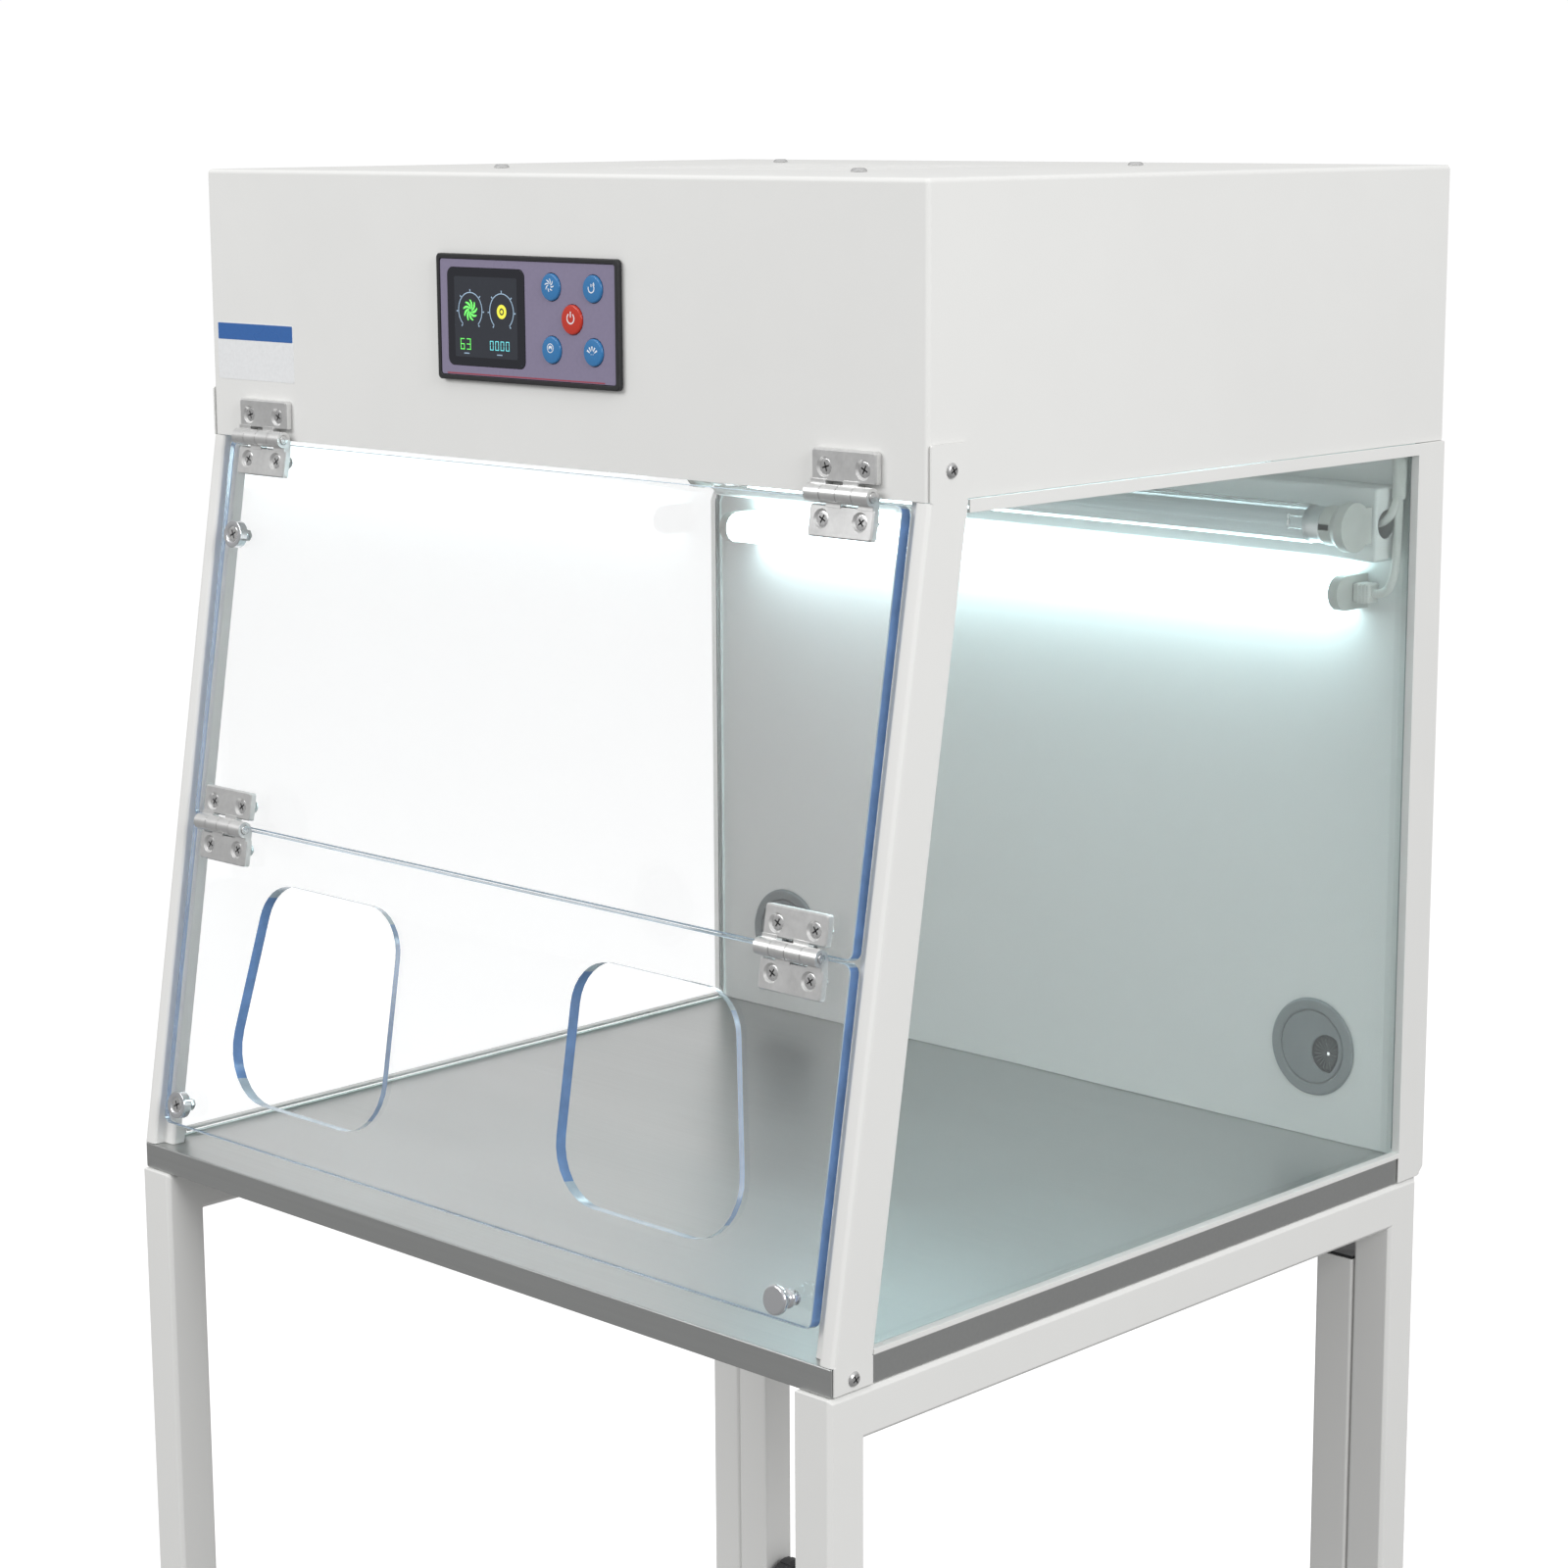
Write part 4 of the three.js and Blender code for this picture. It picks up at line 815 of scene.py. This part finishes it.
def draw_timer(bm, thin):
    arc_band(bm, 0.0022, 0.0029, math.radians(-200), math.radians(60), 0, thin, (0, 0.0004))
    slab(bm, [(-0.0003, 0.0002), (0.0003, 0.0002), (0.0003, 0.0030), (-0.0003, 0.0030)], thin)
    slab(bm, [(0.0010, 0.0026), (0.0030, 0.0020), (0.0024, 0.0042)], thin)


def draw_power(bm, thin):
    arc_band(bm, 0.0027, 0.0035, math.radians(-235), math.radians(55), 0, thin, (0, 0.0008))
    slab(bm, [(-0.0004, 0.0014), (0.0004, 0.0014), (0.0004, 0.0050), (-0.0004, 0.0050)], thin)


def draw_ring(bm, thin):
    arc_band(bm, 0.0001, 0.0016, 0, 2 * math.pi - 0.001, 0, thin, (0, 0.0012))
    arc_band(bm, 0.0024, 0.0029, 0, 2 * math.pi - 0.001, 0, thin, (0, 0.0012))


def draw_rays(bm, thin):
    for i in range(5):
        angle = math.radians(30 + 30 * i)
        arc_band(bm, 0.0022, 0.0050, angle - 0.12, angle + 0.12, 0, thin, (0, -0.0012))
    arc_band(bm, 0.0001, 0.0012, 0, math.pi, 0, thin, (0, -0.0012))


def key_icons():
    icons = {
        "fan_button": draw_fan, "timer_button": draw_timer, "power_button": draw_power,
        "uv_button": draw_ring, "light_button": draw_rays,
    }
    for node, draw in icons.items():
        lo, hi = low(node), high(node)
        bm = bmesh.new()
        draw(bm, 0.0001)
        lift = PANEL_FACE - lo.y
        matrix = on_panel((lo.x + hi.x) / 2, (lo.z + hi.z) / 2, lift - 0.00012)
        finish_mesh(node + "_icon", bm, ICON_WHITE, BODY_OF[node], matrix=matrix)


def blank_label():
    bm = bmesh.new()
    width, height, header = 0.0818, 0.0380, 0.0121
    thickness = 0.00018
    slab(bm, plate_outline(width, height, 0.0015), thickness)
    top = [(u, v + (height - header) / 2) for u, v in plate_outline(width - 0.0016, header - 0.0012, 0.0006)]
    slab(bm, top, thickness * 1.6, 1)
    place = Matrix.Translation((-0.2779, FRONT, ROOF + 0.0575)) @ Matrix.Rotation(math.radians(90), 4, "X")
    finish_mesh("blank_label", bm, [LABEL_WHITE, LABEL_BLUE], ROOT, matrix=place)


# ------------------------------------------------------------------ lamps
def uv_lamp():
    lo, hi = low("uv_tube"), high("uv_tube")
    axis_y = (lo.y + hi.y) / 2
    axis_z = (lo.z + hi.z) / 2
    half = 0.281
    cap = 0.013
    place = facing((0, axis_y, axis_z), (1, 0, 0))
    bm = bmesh.new()
    outer, neck, wall = 0.01295, 0.0115, 0.0011
    end = half - cap + 0.004
    profile = [
        (neck, -end), (outer, -end + 0.003), (outer, end - 0.003), (neck, end),
        (neck - wall, end), (outer - wall, end - 0.004), (outer - wall, -end + 0.004), (neck - wall, -end),
        (neck, -end),
    ]
    lathe(bm, profile, 48)
    bmesh.ops.remove_doubles(bm, verts=bm.verts, dist=1e-7)
    finish_mesh("uv_glass", bm, QUARTZ, "uv_lamp", ["uv_tube"], matrix=place)
    for name, sign in (("left", -1), ("right", 1)):
        bm = bmesh.new()
        profile = [(0, 0), (0.0120, 0), (0.0120, 0.0115), (0.0122, 0.0120), (0.0122, cap), (0, cap)]
        lathe(bm, rounded_profile(profile, 0.0006), 48)
        for offset in (-0.00635, 0.00635):
            pin = bmesh.new()
            stem = [(0, cap), (0.0012, cap), (0.0012, cap + 0.007), (0, cap + 0.007)]
            lathe(pin, rounded_profile(stem, 0.0005), 16)
            bmesh.ops.translate(pin, vec=(0, offset, 0), verts=pin.verts)
            merge_into(bm, pin)
        matrix = facing((sign * (half - cap), axis_y, axis_z), (sign, 0, 0))
        finish_mesh(f"uv_cap_{name}", bm, ALUMINIUM, "uv_lamp", ["uv_tube"], matrix=matrix)
        bm = bmesh.new()
        for offset in (-0.004, 0.004):
            post = bmesh.new()
            lathe(post, [(0, 0), (0.0005, 0), (0.0005, 0.020), (0, 0.020)], 10)
            bmesh.ops.translate(post, vec=(0, offset, 0), verts=post.verts)
            merge_into(bm, post)
        box_bm(bm, (-0.0007, -0.0052, 0.0195), (0.0007, 0.0052, 0.0209), 0.0004)
        matrix = facing((sign * (half - cap + 0.001), axis_y, axis_z), (-sign, 0, 0))
        finish_mesh(f"uv_electrode_{name}", bm, SCREW, "uv_lamp", matrix=matrix)


def lamp_holders():
    refined("uv_holder_left", PALE, 0.0005, 2)
    refined("uv_holder_right", PALE, 0.0005, 2)


def light_bar():
    lo, hi = low("light_bar"), high("light_bar")
    radius = (hi.z - lo.z) / 2
    depth = hi.y - lo.y
    steps = 16

    def section(shrink):
        outline = [(0, -radius + shrink), (0, radius - shrink)]
        for i in range(steps + 1):
            angle = math.pi / 2 + math.pi * i / steps
            r = radius - shrink
            outline.append((-(depth - radius) + r * math.cos(angle), r * math.sin(angle)))
        return outline

    def run(name, x0, x1, shrink, material):
        bm = bmesh.new()
        slab(bm, section(shrink), x1 - x0)
        turn = Matrix(((0, 0, 1, 0), (1, 0, 0, 0), (0, 1, 0, 0), (0, 0, 0, 1)))
        place = Matrix.Translation((x0, hi.y, (lo.z + hi.z) / 2)) @ turn
        return finish_mesh(name, bm, material, ROOT, ["light_bar"], matrix=place)

    end = 0.0075
    run("light_bar_diffuser", lo.x + end, hi.x - end, 0.0006, DIFFUSER)
    run("light_bar_end_left", lo.x, lo.x + end, 0.0, PALE)
    run("light_bar_end_right", hi.x - end, hi.x, 0.0, PALE)


def smooth_route(points, per_step=6):
    """Catmull-Rom through listed points."""
    spots = [Vector(p) for p in points]
    route = []
    for i in range(len(spots) - 1):
        a = spots[max(i - 1, 0)]
        b, c = spots[i], spots[i + 1]
        d = spots[min(i + 2, len(spots) - 1)]
        for k in range(per_step):
            t = k / per_step
            t2, t3 = t * t, t * t * t
            bend = (2 * a - 5 * b + 4 * c - d) * t2 + (3 * b - a - 3 * c + d) * t3
            route.append(0.5 * (2 * b + (c - a) * t + bend))
    route.append(spots[-1])
    return route


def cable(name, points, radius):
    route = smooth_route(points)
    curve = bpy.data.curves.new(name, "CURVE")
    curve.dimensions = "3D"
    curve.bevel_depth = radius
    curve.bevel_resolution = 5
    curve.use_fill_caps = True
    spline = curve.splines.new("POLY")
    spline.points.add(len(route) - 1)
    for spot, place in zip(spline.points, route):
        spot.co = (*place, 1)
    curve.materials.append(SHEATH)
    piece = bpy.data.objects.new(name, curve)
    bpy.context.collection.objects.link(piece)
    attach(piece, ROOT)
    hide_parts("lamp_cables")
    length = sum((b - a).length for a, b in zip(route, route[1:]))
    return piece, length


def lamp_cables():
    x, y = 0.3118, FRONT + 0.4752
    radius = 0.003
    bar_z = (low("light_bar").z + high("light_bar").z) / 2
    bar_end = high("light_bar").x
    batten_z = (low("uv_batten").z + high("uv_batten").z) / 2
    hole_y = FRONT + 0.470
    down = [
        (x, y, WORK + 0.470), (x, y, WORK + 0.440), (x, y - 0.001, WORK + 0.415),
        (x, y - 0.003, WORK + 0.398), (x - 0.003, y - 0.005, bar_z + 0.004),
        (x - 0.009, y - 0.006, bar_z + 0.0005), (x - 0.016, y - 0.006, bar_z),
    ]
    aside = [
        (x, y, WORK + 0.468), (x - 0.0005, y - 0.0005, WORK + 0.449), (x - 0.003, y - 0.003, WORK + 0.438),
        (x - 0.008, hole_y, batten_z + 0.002), (x - 0.014, hole_y, batten_z),
    ]
    for name, points in (("light_bar_cable", down), ("uv_lamp_cable", aside)):
        piece, length = cable(name, points, radius)
    bm = bmesh.new()
    sleeve, wall = 0.0047, 0.0009
    lowest = WORK + 0.447
    tall = high("lamp_cables").z - lowest
    profile = [(sleeve, 0), (sleeve, tall), (sleeve - wall, tall), (sleeve - wall, 0), (sleeve, 0)]
    lathe(bm, rounded_profile(profile, 0.0003), 32)
    bmesh.ops.remove_doubles(bm, verts=bm.verts, dist=1e-7)
    matrix = Matrix.Translation((x, y, lowest))
    finish_mesh("cable_sleeve", bm, SHEATH, ROOT, ["lamp_cables"], matrix=matrix)
    bm = bmesh.new()
    start = bar_end + 0.0003
    box_bm(bm, (start, y - 0.012, bar_z - 0.0065), (start + 0.013, y, bar_z + 0.0065), 0.0015, 3)
    for i in range(3):
        ring = start + 0.0035 + i * 0.003
        box_bm(bm, (ring, y - 0.0124, bar_z - 0.0067), (ring + 0.0012, y, bar_z + 0.0067), 0.0003, 1)
    finish_mesh("light_bar_connector", bm, SHEATH, ROOT, ["lamp_cables"])


# ------------------------------------------------------------------ grommets
def grommets():
    for side, sign in (("left", -1), ("right", 1)):
        ring, cap = "grommet_ring_" + side, "grommet_cap_" + side
        centre = (low(ring) + high(ring)) / 2
        wall = FRONT + 0.482
        bm = bmesh.new()
        profile = [
            (0.026, -0.0127), (0.0296, -0.0127), (0.0296, 0.0003), (0.0342, 0.0003), (0.0342, 0.0014),
            (0.0328, 0.0028), (0.0272, 0.0028), (0.026, 0.0018), (0.026, -0.0127),
        ]
        lathe(bm, rounded_profile(profile, 0.0006), 72)
        bmesh.ops.remove_doubles(bm, verts=bm.verts, dist=1e-7)
        matrix = facing((centre.x, wall, centre.z), (0, -1, 0))
        finish_mesh(ring + "_finish", bm, GREY, BODY_OF[ring], [ring], matrix=matrix)
        refined(cap, GREY, 0.0004, 2)
        brush(cap, centre, wall)


def brush(cap, centre, wall):
    """Radial bristles that close the cap's cable opening."""
    opening = Vector((centre.x + 0.013, wall - 0.0006, centre.z - 0.003))
    bm = bmesh.new()
    count = 150
    for i in range(count):
        angle = 2 * math.pi * i / count + random.uniform(-0.01, 0.01)
        reach = 0.0134
        outward = Vector((math.cos(angle), 0, math.sin(angle)))
        rim = opening + outward * reach
        from_middle = Vector((rim.x - centre.x, 0, rim.z - centre.z))
        limit = 0.0224
        if from_middle.length > limit:
            b = Vector((opening.x - centre.x, 0, opening.z - centre.z))
            along = outward.dot(b)
            reach = -along + math.sqrt(along * along - b.length_squared + limit * limit)
            rim = opening + outward * reach
        tip = opening + outward * random.uniform(0.0012, 0.0024)
        tip.y += random.uniform(-0.0005, 0.0005)
        bristle(bm, rim, tip, 0.00042)
        if i % 7 == 0:
            lift = Vector((0, -0.0008, 0))
            bristle(bm, opening + (rim - opening) * 0.8 + lift, tip + lift, 0.00028, 1)
    finish_mesh(cap + "_brush", bm, [BRISTLE, GREY_BRISTLE], BODY_OF[cap])


def bristle(bm, start, end, radius, index=0):
    along = (end - start).normalized()
    side = along.cross(Vector((0, 1, 0))).normalized() * radius
    deep = Vector((0, radius, 0))
    corners = [side, deep, -side, -deep]
    a = [bm.verts.new(start + c) for c in corners]
    b = [bm.verts.new(end + c * 0.5) for c in corners]
    for i in range(4):
        j = (i + 1) % 4
        bm.faces.new((a[i], a[j], b[j], b[i])).material_index = index
    bm.faces.new(a).material_index = index
    bm.faces.new(b).material_index = index


# ------------------------------------------------------------------ stand
def stand_details():
    for side in ("left", "right"):
        refined("hand_knob_" + side, BLACK, 0.0005, 2)
    plugs = bmesh.new()
    frame_top = high("back_frame")
    tube = 0.030
    for sign in (-1, 1):
        x0, x1 = sorted((sign * frame_top.x, sign * (frame_top.x - tube)))
        y1 = frame_top.y
        y0, z = y1 - tube, frame_top.z
        inset, rim = 0.0021, 0.0005
        box_bm(plugs, (x0 + inset, y0 + inset, z - 0.012), (x1 - inset, y1 - inset, z), 0.0006)
        box_bm(plugs, (x0 + rim, y0 + rim, z), (x1 - rim, y1 - rim, z + 0.0022), 0.001, 3)
    finish_mesh("back_frame_end_plugs", plugs, BLACK, ROOT)
    for place in ("front", "rear"):
        for side in ("left", "right"):
            levelling_foot(f"foot_{place}_{side}")


def levelling_foot(node):
    lo, hi = low(node), high(node)
    middle = (lo + hi) / 2
    bm = bmesh.new()
    profile = [
        (0, 0), (0.0160, 0), (0.0170, 0.0012), (0.0170, 0.006),
        (0.0145, 0.0084), (0.0075, 0.0098), (0.005, 0.0115), (0.005, 0.013),
    ]
    lathe(bm, rounded_profile(profile, 0.0006), 48)
    pitch = 0.0016
    count = int(0.046 / pitch)
    thread = []
    for i in range(count):
        z = 0.013 + i * pitch
        thread += [(0.005, z), (0.0043, z + pitch / 2)]
    thread += [(0.005, 0.0596), (0, 0.06)]
    lathe(bm, thread, 24)
    bmesh.ops.remove_doubles(bm, verts=bm.verts, dist=1e-7)
    matrix = Matrix.Translation((middle.x, middle.y, lo.z))
    finish_mesh(node + "_finish", bm, BLACK, BODY_OF[node], [node], matrix=matrix)


# ------------------------------------------------------------------ inside the housing
def inner_works():
    refined("fan_plate", ALUMINIUM, 0.0003, 1, cut_above=TOP - 0.0005)
    refined("fan_impeller", GREY, 0.0003, 1)
    refined("fan_motor", BLACK, 0.0004, 1)
    refined("power_inlet", BLACK, 0.0003, 1)
    refined("filter_cartridge", ALUMINIUM, 0.0005, 1)
    pleats()


def pleats():
    lo, hi = low("filter_cartridge"), high("filter_cartridge")
    frame_width = 0.0165
    bm = bmesh.new()
    count = 96
    x0, x1 = lo.x + frame_width, hi.x - frame_width
    y0, y1 = lo.y + frame_width, hi.y - frame_width
    for bottom, top in ((lo.z + 0.0006, lo.z + 0.0036), (hi.z - 0.0036, hi.z - 0.0006)):
        rows = []
        for i in range(count + 1):
            y = y0 + (y1 - y0) * i / count
            z = top if i % 2 else bottom
            rows.append((bm.verts.new((x0, y, z)), bm.verts.new((x1, y, z))))
        for a, b in zip(rows, rows[1:]):
            bm.faces.new((a[0], a[1], b[1], b[0]))
    piece = finish_mesh("filter_pleats", bm, PAPER, ROOT)
    thick = piece.modifiers.new("paper", "SOLIDIFY")
    thick.thickness = 0.0003


# ------------------------------------------------------------------ studio
def area_light(name, place, target, size, power):
    data = bpy.data.lights.new(name, "AREA")
    data.shape = "RECTANGLE"
    data.size, data.size_y = size
    data.energy = power
    light = bpy.data.objects.new(name, data)
    light.location = place
    light.rotation_euler = (Vector(target) - Vector(place)).to_track_quat("-Z", "Y").to_euler()
    bpy.context.collection.objects.link(light)


def studio_world():
    """White to look at and through, and a softer graded light on the surfaces."""
    world = bpy.data.worlds.new("studio")
    bpy.context.scene.world = world
    world.use_nodes = True
    tree = world.node_tree
    seen = tree.nodes["Background"]
    seen.inputs["Color"].default_value = (1, 1, 1, 1)
    seen.inputs["Strength"].default_value = 1.02
    cast = tree.nodes.new("ShaderNodeBackground")
    direction = tree.nodes.new("ShaderNodeTexCoord")
    split = tree.nodes.new("ShaderNodeSeparateXYZ")
    grade = tree.nodes.new("ShaderNodeValToRGB")
    lift = tree.nodes.new("ShaderNodeMapRange")
    lift.inputs["From Min"].default_value = -1
    grade.color_ramp.elements[0].color = (0.30, 0.30, 0.30, 1)
    grade.color_ramp.elements[1].color = (0.88, 0.88, 0.88, 1)
    middle = grade.color_ramp.elements.new(0.5)
    middle.color = (0.42, 0.42, 0.42, 1)
    tree.links.new(direction.outputs["Generated"], split.inputs["Vector"])
    tree.links.new(split.outputs["Z"], lift.inputs["Value"])
    tree.links.new(lift.outputs["Result"], grade.inputs["Fac"])
    tree.links.new(grade.outputs["Color"], cast.inputs["Color"])
    path = tree.nodes.new("ShaderNodeLightPath")
    either = tree.nodes.new("ShaderNodeMath")
    either.operation = "MAXIMUM"
    direct = tree.nodes.new("ShaderNodeMath")
    direct.operation = "LESS_THAN"
    direct.inputs[1].default_value = 0.5
    both = tree.nodes.new("ShaderNodeMath")
    both.operation = "MULTIPLY"
    mix = tree.nodes.new("ShaderNodeMixShader")
    tree.links.new(path.outputs["Is Camera Ray"], either.inputs[0])
    tree.links.new(path.outputs["Is Transmission Ray"], either.inputs[1])
    tree.links.new(path.outputs["Diffuse Depth"], direct.inputs[0])
    tree.links.new(either.outputs["Value"], both.inputs[0])
    tree.links.new(direct.outputs["Value"], both.inputs[1])
    tree.links.new(both.outputs["Value"], mix.inputs["Fac"])
    tree.links.new(cast.outputs["Background"], mix.inputs[1])
    tree.links.new(seen.outputs["Background"], mix.inputs[2])
    tree.links.new(mix.outputs["Shader"], tree.nodes["World Output"].inputs["Surface"])


def studio():
    studio_world()
    bm = bmesh.new()
    bmesh.ops.create_grid(bm, x_segments=2, y_segments=2, size=14)
    mesh = bpy.data.meshes.new("floor")
    bm.to_mesh(mesh)
    bm.free()
    floor = bpy.data.objects.new("floor", mesh)
    bpy.context.collection.objects.link(floor)
    paint = Paint("studio_floor", (0.92, 0.92, 0.92), 0.8)
    paint.vary(paint.noise(3, 2), 0.003)
    paint.shader.inputs["Emission Color"].default_value = (1, 1, 1, 1)
    paint.shader.inputs["Emission Strength"].default_value = 0.35
    mesh.materials.append(paint.material)
    floor.visible_diffuse = False
    floor.visible_glossy = False
    area_light("key", (-1.3, -3.0, 2.9), (0, 0, 1.1), (2.0, 1.4), 55)
    area_light("side", (3.2, -0.7, 2.5), (0, 0, 1.1), (1.6, 1.4), 59)
    bpy.context.scene.view_settings.view_transform = "Standard"


# ------------------------------------------------------------------ everything
lamp_cables()
sheet_metal()
side_sealing_line()
doors()
panes()
hinges()
hinge_screws()
magnets()
knob()
cabinet_screws()
control_panel()
blank_label()
uv_lamp()
lamp_holders()
light_bar()
grommets()
stand_details()
inner_works()
studio()
